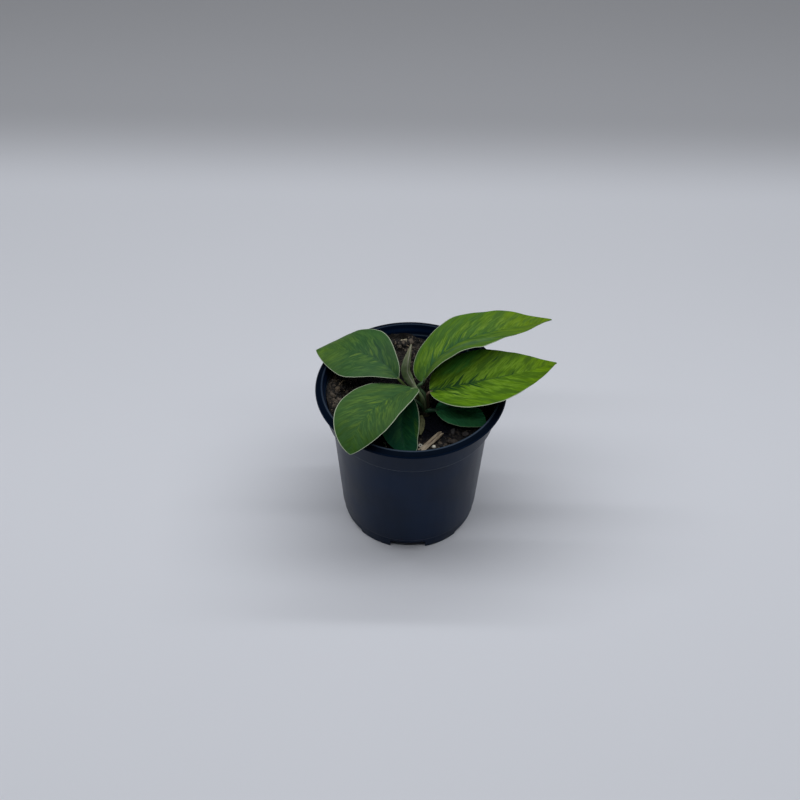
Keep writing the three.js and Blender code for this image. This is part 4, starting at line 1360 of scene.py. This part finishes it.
class LeafShader(Shader):
    """A material with a blade's own coordinates and noise drawn out along its side veins."""

    def __init__(self, name, leaf, finish):
        super().__init__(name, Specular_IOR_Level=finish.gloss)
        self.run = self.attribute("run")
        self.mid = self.attribute("mid")
        self.edge = self.attribute("edge")
        self.under = self.attribute("under")
        self.out = abs(self.mid)
        self.side = self.mid.sign()
        warp = self.noise(self.vector(self.run * 0.10, self.mid * 0.10, 4.0), 1.0, 2.0) - 0.5
        self.start = vein_coordinate(self.run, self.out) + warp * 6.0
        self.share = self.out / (self.out + self.edge + 0.01)
        self.far = self.run / leaf.length
        self.broad = self.streaks(0.15, 0.11, finish.seed, 2.0)
        self.middle = self.streaks(0.55, 0.22, finish.seed + 3.1, 3.0)
        self.fine = self.streaks(1.15, 0.30, finish.seed + 7.7, 5.0)
        self.ragged = self.fine - 0.5

    def streaks(self, across, down, page, detail):
        """Noise that is drawn out along the side veins, different on each side."""
        spot = self.vector(self.start * across, self.out * down, self.side * 5.0 + page)
        return self.noise(spot, 1.0, detail, 0.55)

    def feather(self, side, start, reach, width):
        """A streak that leaves the midrib along a side vein and narrows to its end."""
        taper = 1.0 - (self.out / reach) ** 2.0
        inside = taper * width * 0.5 - abs(self.start - start) + self.ragged * 0.35 * width
        return inside.step(-0.15, 0.40) * (self.side * side).step(0.0, 0.5)

    def blotch(self, middle, start, length, width, ragged):
        """A soft patch drawn out along the side veins."""
        a = (self.start - start) / (width * 0.5)
        b = (self.mid - middle) / (length * 0.5)
        return (1.0 - a * a - b * b + self.ragged * ragged * 3.0).step(0.0, 1.2)

    def blotches(self, places, ragged):
        return [self.blotch(*place, ragged) for place in places]

    def dark_marks(self, finish):
        """Mask of the feathers, the islands and the thread along the midrib."""
        spot = self.vector(self.start * 0.42, self.side * 5.0 + finish.seed, 0.3)
        spikes = self.noise(spot, 1.0, 3.0, 0.6)
        reach = (spikes - 0.47) * 30.0 * finish.feather + finish.band
        past_band = self.far.step(finish.band_end * 0.5, finish.band_end * 1.3)
        flames = reach * (1.0 - past_band) - self.out + self.ragged * 1.6
        islands = (self.middle + self.ragged * 0.3).step(0.60, 0.70) * finish.feather
        islands = islands * (1.0 - self.share.step(0.45, 0.85))
        islands = islands * (1.0 - self.far.step(0.6, 0.9))
        thread = (0.55 - self.out + self.ragged * 0.8).step(-0.1, 0.3)
        thread = thread * (1.0 - self.far.step(0.58, 0.75))
        feathers = [self.feather(*each) for each in finish.feathers]
        return self.strongest([flames.step(-0.2, 0.9) * 0.85, islands * 0.6, thread * 0.5,
                               *feathers, *self.blotches(finish.islands, 0.4)])

    def bright_marks(self, finish):
        """Mask of the yellow bloom round the midrib and of the blotches."""
        centre = (1.0 - self.share.step(0.40, 0.95)) * (1.0 - self.far.step(0.62, 0.95))
        bloom = (self.broad * 0.55 + self.middle * 0.45 + self.ragged * 0.35).step(0.47, 0.60)
        return self.strongest([bloom * centre * finish.bloom,
                               *self.blotches(finish.blotches, 1.0)])

    def pale_margin(self, finish, look):
        """Mask of the pale line, which ends part of the way along each margin."""
        width = look.margin_width / MM
        left, right = finish.margin_reach
        past = self.far - left - self.side.step(-0.5, 0.5) * (right - left)
        return self.edge.step(width * 1.1, width * 0.4) * past.step(0.10, -0.12)

    def upper_side(self, finish):
        """Colour of the blade's upper side within its margin."""
        tip = self.far.step(0.50, 0.95) * 0.85
        colour = self.blend(tip, finish.green, finish.tip)
        colour = self.blend(self.broad.step(0.62, 0.38) * 0.45, colour, finish.dark)
        # Patches of painted light and shade, one set for each leaf
        if finish.cool:
            cool = self.strongest(self.blotches(finish.cool, 0.5))
            colour = self.blend(cool * 0.7, colour, finish.cool_colour)
        colour = self.blend(self.bright_marks(finish) * 0.85, colour, finish.yellow)
        colour = self.blend(self.dark_marks(finish) * 0.92, colour, finish.dark)
        tone = self.fine.step(0.32, 0.68) * 0.32 + self.middle.step(0.3, 0.7) * 0.12 + 0.77
        return self.blend(1.0, colour, self.grey(tone), "MULTIPLY")

    def lower_side(self, green):
        """Colour of the blade's underside, paler along the midrib."""
        colour = self.blend(self.fine.step(0.3, 0.8) * 0.3, green, [c * 0.7 for c in green])
        return self.blend(self.out.step(1.3, 0.5) * 0.6, colour, [c * 1.8 for c in green])


def leaf_material(name, leaf, finish, look):
    """Blade: feathered dark streaks, yellow blotches and a pale margin on green."""
    s = LeafShader(name, leaf, finish)
    colour = s.blend(s.under, s.upper_side(finish), s.lower_side(look.underside))
    margin = s.pale_margin(finish, look) * finish.margin_amount
    s.colour(s.blend(margin, colour, look.margin))
    s.roughness(0.46 + s.ragged * 0.18 + s.under * 0.14)
    spacing = 2 * math.pi / (look.vein_spacing / MM)
    veins = ((s.start * spacing).cosine() * 0.5 + 0.5) ** 14.0 * (1.0 - s.share)
    grain = s.noise(s.vector(s.start * 5.0, s.out * 0.5, finish.seed), 1.0, 2.0)
    s.bump(s.fine * 0.4 + grain * 0.3 - veins * 0.5, 0.08 * MM, 0.7)
    return s.material


def stalk_material(name, finish):
    """Stalk: lengthwise threads, darker towards the foot."""
    s = Shader(name, Specular_IOR_Level=0.4, Roughness=0.5)
    run = s.attribute("run")
    around = s.attribute("mid")
    thread = s.noise(s.vector(around * 2.2, run * 0.12, 1.0), 1.0, 3.0)
    low = run.step(9.0, 2.0)
    colour = s.blend(thread.step(0.35, 0.7) * 0.5, finish.stalk,
                     [c * 0.55 for c in finish.stalk])
    s.colour(s.blend(low * 0.6, colour, (0.070, 0.110, 0.054)))
    s.bump(thread, 0.12 * MM, 0.7)
    return s.material


def fine_columns():
    """Shares across half a blade, closer at the midrib and at the margin."""
    inner = np.linspace(0, 0.14, 8)
    middle = np.linspace(0.14, 0.94, 20)[1:]
    outer = (0.96, 0.975, 0.988, 1.0)
    return np.concatenate([inner, middle, outer])


class HOMALOMENA_OT_leaves(bpy.types.Operator):
    """Make the six open leaves, each with its stalk"""

    bl_idname = "homalomena.leaves"
    bl_label = "Leaves"

    def execute(self, context):
        look = context.scene.homalomena_leaf
        for node, leaf in LEAVES.items():
            finish = LEAF_LOOKS[node]
            rows = 70 + int(leaf.length)
            points, faces, attributes = blade_mesh(blade_sheet(leaf, rows, fine_columns(), look))
            blade_faces = len(faces)
            rings, sides = STALK.rings, STALK.sides
            stalk, reach = stalk_rings(leaf, finish.thick)
            faces += tube_faces(rings, sides, len(points))
            points = np.vstack([points, stalk.reshape(-1, 3)])
            spread = np.repeat(reach, sides)
            turn = np.tile(np.arange(sides) / sides * 6.0, rings)
            added = {"run": spread, "mid": turn, "edge": 9 + 0 * spread, "under": 0 * spread}
            attributes = {k: np.concatenate([v, added[k]]) for k, v in attributes.items()}
            thing = new_mesh_object(node + "_blade", points, faces, attributes, 70)
            finish_piece(thing, [leaf_material(node, leaf, finish, look),
                                 stalk_material(node + "_stalk", finish)], "leaf", node)
            part = np.zeros(len(faces), int)
            part[blade_faces:] = 1
            thing.data.polygons.foreach_set("material_index", part)
            thing.data.update()
        return {"FINISHED"}


def spear_material():
    """Rolled new leaf: olive grey-green with pale margins and a dull lower stalk."""
    s = Shader("new_leaf", Specular_IOR_Level=0.4)
    run, rim = s.attribute("run"), s.attribute("edge")
    around = s.attribute("mid")
    thread = s.noise(s.vector(around * 1.6, run * 0.10, 2.0), 1.0, 3.0)
    blotch = s.noise(s.vector(around * 0.5, run * 0.25, 8.0), 1.0, 2.0)
    colour = s.blend(blotch.step(0.38, 0.66), (0.165, 0.215, 0.110), (0.260, 0.285, 0.180))
    colour = s.blend(thread.step(0.4, 0.7) * 0.5, colour, (0.105, 0.150, 0.072))
    stem = run.step(26.0, 20.0)
    colour = s.blend(stem * 0.7, colour, (0.150, 0.210, 0.100))
    tip = run.step(43.0, 53.0)
    colour = s.blend(tip * 0.7, colour, (0.270, 0.240, 0.155))
    s.colour(s.blend(rim.step(0.55, 0.25) * 0.9, colour, (0.52, 0.52, 0.42)))
    s.roughness(0.48 + (thread - 0.5) * 0.2)
    s.bump(thread, 0.14 * MM, 0.8)
    return s.material


def smoothed(values, reach):
    """Each value as the mean of its neighbours up to a reach on both sides."""
    window = 2 * reach + 1
    return np.convolve(np.pad(values, reach, mode="edge"), np.ones(window) / window, "valid")


def crowded(sides):
    """Shares round a section, closer together just before the free margin."""
    even = np.arange(sides) / (sides - 1)
    return even + 0.10 * np.sin(np.pi * even) * even * (1 - even) * 2


def rolled_section(radius, seam, wrap, sides):
    """Angles and radii of one section of the rolled leaf, which steps in at its seam."""
    turn = crowded(sides)
    angles = seam + 2 * np.pi * turn
    step = SPEAR_SEAM.step * wrap * min(1.0, radius / 1.6)
    around = radius * (1 - step * (1 - turn) ** 1.5)
    return angles, around * (1 - SPEAR_FLATNESS * np.cos(2 * angles))


class HOMALOMENA_OT_new_leaf(bpy.types.Operator):
    """Make the youngest leaf, rolled round itself, with its stalk"""

    bl_idname = "homalomena.new_leaf"
    bl_label = "New leaf"

    def execute(self, context):
        rings, sides = SPEAR_GRID.rings, SPEAR_GRID.sides
        path = smooth_path(SPEAR_PATH, rings)
        normals, binormals = path_axes(path, (0, 1, 0))
        share = np.linspace(0, 1, rings)
        radius = np.interp(share, SPEAR_STATIONS, SPEAR_RADII)
        radius = smoothed(radius, SPEAR_SMOOTHING)
        seams = np.radians(SPEAR_SEAM.angle + SPEAR_SEAM.twist * share)
        wraps = np.clip((share - SPEAR_SEAM.start) / SPEAR_SEAM.growth, 0, 1)
        turn = crowded(sides)
        points, edge = [], []
        for i in range(rings):
            angles, around = rolled_section(radius[i], seams[i], wraps[i], sides)
            points.append(path[i] + normals[i] * (around * np.cos(angles))[:, None]
                          + binormals[i] * (around * np.sin(angles))[:, None])
            outer = np.abs(1 - turn) * 2 * np.pi * radius[i]
            edge.append(outer + 3.0 * (1 - wraps[i]))
        attributes = {
            "run": np.repeat(path_reach(path), sides),
            "mid": np.tile(turn * 9.0, rings),
            "edge": np.concatenate(edge),
        }
        faces = tube_faces(rings, sides)
        thing = new_mesh_object("new_leaf_spear", np.vstack(points), faces, attributes, 60)
        finish_piece(thing, [spear_material()], "new_leaf", "new_leaf")
        return {"FINISHED"}


def crown_material():
    """Crown: olive and brown sheaths with lengthwise threads."""
    s = Shader("crown_sheath", Specular_IOR_Level=0.35, Roughness=0.65)
    place = s.place()
    thread = s.noise(s.scaled(place, (1.0, 1.0, 0.12)), 1500.0, 3.0)
    patch = s.noise(place, 240.0, 2.0)
    colour = s.blend(patch.step(0.4, 0.62), (0.085, 0.085, 0.040), (0.050, 0.034, 0.026))
    s.colour(s.blend(thread.step(0.4, 0.7) * 0.6, colour, (0.130, 0.100, 0.070)))
    s.bump(thread, 0.2 * MM)
    return s.material


class HOMALOMENA_OT_crown(bpy.types.Operator):
    """Make the root crown, wrapped in short overlapping sheaths"""

    bl_idname = "homalomena.crown"
    bl_label = "Crown"

    def execute(self, context):
        core = rounded([(0, CROWN.low), (CROWN.radius - 0.6, CROWN.low),
                        (CROWN.radius - 0.4, CROWN.top - 2.4),
                        (CROWN.radius - 1.1, CROWN.top - 1.6), (0, CROWN.top - 2.2)], 0.4)
        points, faces = lathe(core, 48)
        parts = [(moved(points, CROWN.x, CROWN.y), faces)]
        for i, heading in enumerate(CROWN_SCALES.headings):
            height = CROWN_SCALES.height + 1.3 * math.sin(2.1 * i)
            parts.append(self.scale(heading, CROWN.radius - 0.42 + 0.08 * (i % 3), height))
        crown = new_mesh_object("crown_stub", *merged(parts), None, 50)
        finish_piece(crown, [crown_material()], "stem", "crown")
        return {"FINISHED"}

    def scale(self, heading, radius, height):
        """A thin pointed scale that hugs the crown."""
        rows, columns = 12, 14
        points = []
        for up in np.linspace(0, 1, rows):
            half = math.radians(CROWN_SCALES.half_spread) * math.sqrt(1 - up ** 1.8) + 0.02
            flare = radius + 0.35 * up ** 2
            angles = math.radians(heading) + half * np.linspace(-1, 1, columns)
            z = CROWN.top - 3.2 + height * up
            for reach, turned in ((flare + 0.16, angles), (flare - 0.02, angles[::-1])):
                points += [(CROWN.x + reach * math.cos(a), CROWN.y + reach * math.sin(a), z)
                           for a in turned]
        return points, tube_faces(rows, 2 * columns)


def bark_material(name, light, dark):
    """Bark: layered, with dark specks."""
    s = Shader(name, Specular_IOR_Level=0.35, Roughness=0.88)
    place = s.place()
    layer = s.noise(s.scaled(place, (1.0, 0.35, 2.0)), 900.0, 4.0, 0.65)
    speck = s.noise(place, 2600.0, 3.0)
    colour = s.blend(layer.step(0.35, 0.68), dark, light)
    s.colour(s.blend(speck.step(0.5, 0.75) * 0.5, colour, [c * 0.4 for c in dark]))
    s.bump(layer + speck * 0.4, 0.35 * MM)
    return s.material


def plain_grain_material(name, pale, shade):
    """A pale grain, cloudy and pitted."""
    s = Shader(name, Specular_IOR_Level=0.5)
    place = s.place()
    cloud = s.noise(place, 900.0, 3.0)
    pore = s.noise(place, 3400.0, 3.0)
    s.colour(s.blend(cloud.step(0.35, 0.7), pale, shade))
    s.roughness(0.55 + pore * 0.2)
    s.bump(pore, 0.12 * MM)
    return s.material


def refined(name, node, levels, relief, scale, seed):
    """A finer copy of a node, roughened along its normals."""
    thing = node_copy(name, node)
    finer = thing.modifiers.new("finer", "SUBSURF")
    finer.levels = levels
    finer.render_levels = levels
    settle_modifiers(thing)
    mesh = thing.data
    shift = Vector((seed, 2 * seed, 3 * seed))
    normals = [v.normal.copy() for v in mesh.vertices]
    for vertex, normal in zip(mesh.vertices, normals):
        at = vertex.co / MM * scale + shift
        vertex.co += normal * noise.fractal(at, 0.9, 2.1, 3) * relief * MM
    smooth(mesh)
    return thing


class HOMALOMENA_OT_bark(bpy.types.Operator):
    """Make the bark crumbs that lie on the soil"""

    bl_idname = "homalomena.bark"
    bl_label = "Bark crumbs"

    def execute(self, context):
        for seed, (node, (light, dark)) in enumerate(BARK_COLOURS.items()):
            crumb = refined(node + "_crumb", node, 3, 0.42, 0.55, 5.0 + seed)
            finish_piece(crumb, [bark_material(node, light, dark)], "bark", node)
        return {"FINISHED"}


class HOMALOMENA_OT_grains(bpy.types.Operator):
    """Make the pale grains that lie on the soil"""

    bl_idname = "homalomena.grains"
    bl_label = "Grains"

    def execute(self, context):
        white = plain_grain_material("grain_white", (0.62, 0.60, 0.52), (0.42, 0.40, 0.34))
        tan = plain_grain_material("grain_tan", (0.40, 0.29, 0.15), (0.26, 0.18, 0.09))
        for seed, node in enumerate(SMALL_BITS):
            rough = 0.05 if node.startswith("prill") else 0.16
            grain = refined(node + "_grain", node, 2, rough, 1.1, 2.0 + seed)
            finish_piece(grain, [tan if node == "prill_tan" else white], "prill", node)
        return {"FINISHED"}


def splinter_material():
    """Raw pale wood with grain along the splinter and a brown line down its middle."""
    s = Shader("splinter_wood", Specular_IOR_Level=0.35, Roughness=0.75)
    run, mid = s.attribute("run"), s.attribute("mid")
    thread = s.noise(s.vector(mid * 2.4, run * 0.14, 1.0), 1.0, 3.0, 0.6)
    patch = s.noise(s.vector(mid * 0.6, run * 0.25, 5.0), 1.0, 2.0)
    colour = s.blend(thread.step(0.38, 0.64), (0.36, 0.30, 0.22), (0.18, 0.135, 0.09))
    line = (abs(mid - 0.35 + (patch - 0.5) * 1.6)).step(0.55, 0.15) * run.step(5.0, 10.0)
    colour = s.blend(line * 0.75, colour, (0.070, 0.048, 0.034))
    colour = s.blend(patch.step(0.55, 0.75) * 0.5, colour, (0.12, 0.085, 0.058))
    s.colour(s.blend(run.step(9.0, 3.0) * 0.35, colour, (0.52, 0.45, 0.34)))
    s.bump(thread, 0.35 * MM)
    return s.material


def papery_material(name, pale, tan, brown):
    """Dead leaf: papery, with threads along its length."""
    s = Shader(name, Specular_IOR_Level=0.35, Roughness=0.7)
    place = s.place()
    thread = s.noise(s.scaled(place, (1.0, 0.16, 1.0)), 1800.0, 3.0)
    patch = s.noise(place, 300.0, 3.0)
    colour = s.blend(thread.step(0.35, 0.7), pale, tan)
    s.colour(s.blend(patch.step(0.5, 0.72) * 0.6, colour, brown))
    s.bump(thread, 0.25 * MM)
    return s.material


class HOMALOMENA_OT_dry_bits(bpy.types.Operator):
    """Make the splinter, the papery flake and the dead leaf base"""

    bl_idname = "homalomena.dry_bits"
    bl_label = "Dry bits"

    def execute(self, context):
        self.make_splinter()
        grey = papery_material("flake_paper", (0.30, 0.27, 0.19), (0.18, 0.155, 0.11),
                               (0.08, 0.065, 0.045))
        olive = papery_material("sheath_paper", (0.130, 0.128, 0.055), (0.064, 0.072, 0.030),
                                (0.045, 0.040, 0.022))
        flake = refined("dry_flake_paper", "dry_flake", 3, 0.40, 0.8, 3.0)
        flake.data.transform(Matrix.Translation(Vector(FLAKE_SHIFT) * MM))
        finish_piece(flake, [grey], "dry_leaf", "dry_flake")
        look = context.scene.homalomena_leaf
        sheet = blade_sheet(SHEATH, 60, np.linspace(0, 1, 10), look)
        piece = new_mesh_object("dry_sheath_paper", *blade_mesh(sheet), 70)
        finish_piece(piece, [olive], "dry_leaf", "dry_sheath")
        return {"FINISHED"}

    def make_splinter(self):
        """A flat grooved splinter with a split front end and a blunt rear end."""
        along_it = np.linspace(0, 1, 40)[:, None]
        across = np.linspace(-1, 1, 15)[None]
        start, end = np.array(SPLINTER.start), np.array(SPLINTER.end)
        length = np.linalg.norm(end - start)
        forward = (end - start) / length
        right, up = unit(np.cross(forward, (0, 0, 1))), np.array((0, 0, 1))
        split = SPLINTER.split * np.clip(1 - np.abs(across + 0.15) / 0.4, 0, 1)
        blunt = 0.5 * np.cos(5 * across + 1)
        run = split * (1 - along_it) + (length - 0.5 + blunt) * along_it
        taper = 1 - 0.16 * along_it ** 3 + 0.05 * np.sin(9 * along_it + 1)
        half = SPLINTER.width / 2 * taper
        mid = half * across
        ridge = 0.16 * np.cos(9 * mid + 0.5) + 0.10 * np.cos(21 * mid + 0.4 * run)
        ridge = ridge * (1 - across ** 6) - 0.25 * np.abs(across) ** 5
        middle = start + forward * run[..., None] + right * mid[..., None]
        thick = SPLINTER.thickness / 2
        outward = right * (np.where(across < 0, -1.0, 1.0) + 0 * run)[..., None]
        sheet = SimpleNamespace(
            top=middle + up * (thick + ridge)[..., None], bottom=middle - up * thick,
            outward=outward, run=run, mid=mid, edge=half - np.abs(mid))
        thing = new_mesh_object("wood_splinter", *blade_mesh(sheet), 50)
        finish_piece(thing, [splinter_material()], "chip_wood", "wood_chip")


class HOMALOMENA_OT_stage(bpy.types.Operator):
    """Set up the pale floor, the tube lamps and the camera"""

    bl_idname = "homalomena.stage"
    bl_label = "Stage"

    def execute(self, context):
        look = context.scene.homalomena_stage
        self.make_floor(look)
        for i, (y, share, width) in enumerate(LAMPS):
            size = (look.lamp_length, width * MM)
            self.make_lamp(f"tube_lamp_{i}", size, look.lamp_power * share, y, LAMP_Z)
        size = (CEILING_SIZE, CEILING_SIZE)
        self.make_lamp("ceiling", size, look.ceiling_power, 0.0, CEILING_Z)
        world = bpy.data.worlds.new("studio")
        world.use_nodes = True
        background = world.node_tree.nodes["Background"]
        background.inputs["Color"].default_value = (*AMBIENT_COLOUR, 1.0)
        background.inputs["Strength"].default_value = look.ambient
        context.scene.world = world
        context.scene.view_settings.view_transform = "Standard"
        self.make_camera(context)
        return {"FINISHED"}

    def make_lamp(self, name, size, power, y, z):
        """A flat lamp that faces the object."""
        light = bpy.data.lights.new(name, "AREA")
        light.shape = "RECTANGLE"
        light.size, light.size_y = size
        light.energy = power
        light.color = LAMP_COLOUR
        lamp = bpy.data.objects.new(name, light)
        lamp.location = (0.0, y * MM, z * MM)
        lamp.rotation_euler = (-math.atan2(y, z), 0, 0)
        bpy.context.scene.collection.objects.link(lamp)

    def make_floor(self, look):
        """A floor that bends up into a backdrop behind the object and gets greyer there."""
        section = [(-FLOOR_HALF, 0.0), (SWEEP_START_Y, 0.0)]
        for angle in np.radians(np.linspace(0, SWEEP_TURN, 24)[1:]):
            section.append((SWEEP_START_Y + SWEEP_RADIUS * math.sin(angle),
                            SWEEP_RADIUS * (1 - math.cos(angle))))
        points = [(x, y, z) for y, z in section for x in (-FLOOR_HALF, FLOOR_HALF)]
        faces = [(2 * i, 2 * i + 1, 2 * i + 3, 2 * i + 2) for i in range(len(section) - 1)]
        floor = new_mesh_object("studio_floor", points, faces)
        s = Shader("studio_paper", Roughness=0.8, Specular_IOR_Level=0.3)
        place = s.place()
        y = s.parts(place)[1]
        mottle = s.noise(place, 3.0, 2.0)
        paper = s.blend(mottle.step(0.3, 0.7) * 0.25, look.floor,
                        [c * 0.95 for c in look.floor])
        shade = y.step(0.0, 0.33) * 0.10 + y.step(0.34, 0.475) * 0.53 + y.step(0.45, 0.7) * 0.16
        s.colour(s.blend(shade, paper, SHADED_FLOOR))
        floor.data.materials.append(s.material)

    def make_camera(self, context):
        """A camera that is turned by its yaw, then tilted down by its pitch, then rolled."""
        pitch, yaw, roll = (math.radians(a) for a in (CAMERA.pitch, CAMERA.yaw, CAMERA.roll))
        forward = Vector((math.sin(yaw) * math.cos(pitch), math.cos(yaw) * math.cos(pitch),
                          -math.sin(pitch)))
        level = Vector((math.cos(yaw), -math.sin(yaw), 0.0))
        over = level.cross(forward)
        right = level * math.cos(roll) + over * math.sin(roll)
        up = over * math.cos(roll) - level * math.sin(roll)
        turn = Matrix((right, up, -forward)).transposed()
        lens = bpy.data.cameras.new("camera")
        lens.sensor_width = CAMERA.sensor
        lens.lens = CAMERA.lens
        lens.clip_start = 0.01
        lens.clip_end = 20.0
        camera = bpy.data.objects.new("camera", lens)
        camera.matrix_world = Matrix.Translation(Vector(CAMERA.place) * MM) @ turn.to_4x4()
        context.scene.collection.objects.link(camera)
        context.scene.camera = camera


OPERATORS = (
    HOMALOMENA_OT_stage,
    HOMALOMENA_OT_pot,
    HOMALOMENA_OT_soil,
    HOMALOMENA_OT_crown,
    HOMALOMENA_OT_leaves,
    HOMALOMENA_OT_new_leaf,
    HOMALOMENA_OT_dry_bits,
    HOMALOMENA_OT_bark,
    HOMALOMENA_OT_grains,
)
LOOKS = {
    "homalomena_pot": PotLook,
    "homalomena_soil": SoilLook,
    "homalomena_leaf": LeafLook,
    "homalomena_stage": StageLook,
}


class HOMALOMENA_PT_panel(bpy.types.Panel):
    """Lists the sizes, the colours and what can be made"""

    bl_label = "Potted homalomena"
    bl_idname = "HOMALOMENA_PT_panel"
    bl_space_type = "VIEW_3D"
    bl_region_type = "UI"
    bl_category = "Plant"

    def draw(self, context):
        for name in LOOKS:
            look = getattr(context.scene, name)
            box = self.layout.box()
            for key in look.bl_rna.properties.keys():
                if key not in ("rna_type", "name"):
                    box.prop(look, key)
        for operator in OPERATORS:
            self.layout.operator(operator.bl_idname)


def register():
    for group in LOOKS.values():
        bpy.utils.register_class(group)
    for operator in OPERATORS:
        bpy.utils.register_class(operator)
    bpy.utils.register_class(HOMALOMENA_PT_panel)
    for name, group in LOOKS.items():
        setattr(bpy.types.Scene, name, bpy.props.PointerProperty(type=group))


def unregister():
    for name in LOOKS:
        delattr(bpy.types.Scene, name)
    bpy.utils.unregister_class(HOMALOMENA_PT_panel)
    for operator in reversed(OPERATORS):
        bpy.utils.unregister_class(operator)
    for group in LOOKS.values():
        bpy.utils.unregister_class(group)


def main():
    register()
    bpy.ops.homalomena.stage()
    bpy.ops.homalomena.pot()
    bpy.ops.homalomena.soil()
    bpy.ops.homalomena.crown()
    bpy.ops.homalomena.leaves()
    bpy.ops.homalomena.new_leaf()
    bpy.ops.homalomena.dry_bits()
    bpy.ops.homalomena.bark()
    bpy.ops.homalomena.grains()


if __name__ == "__main__":
    main()
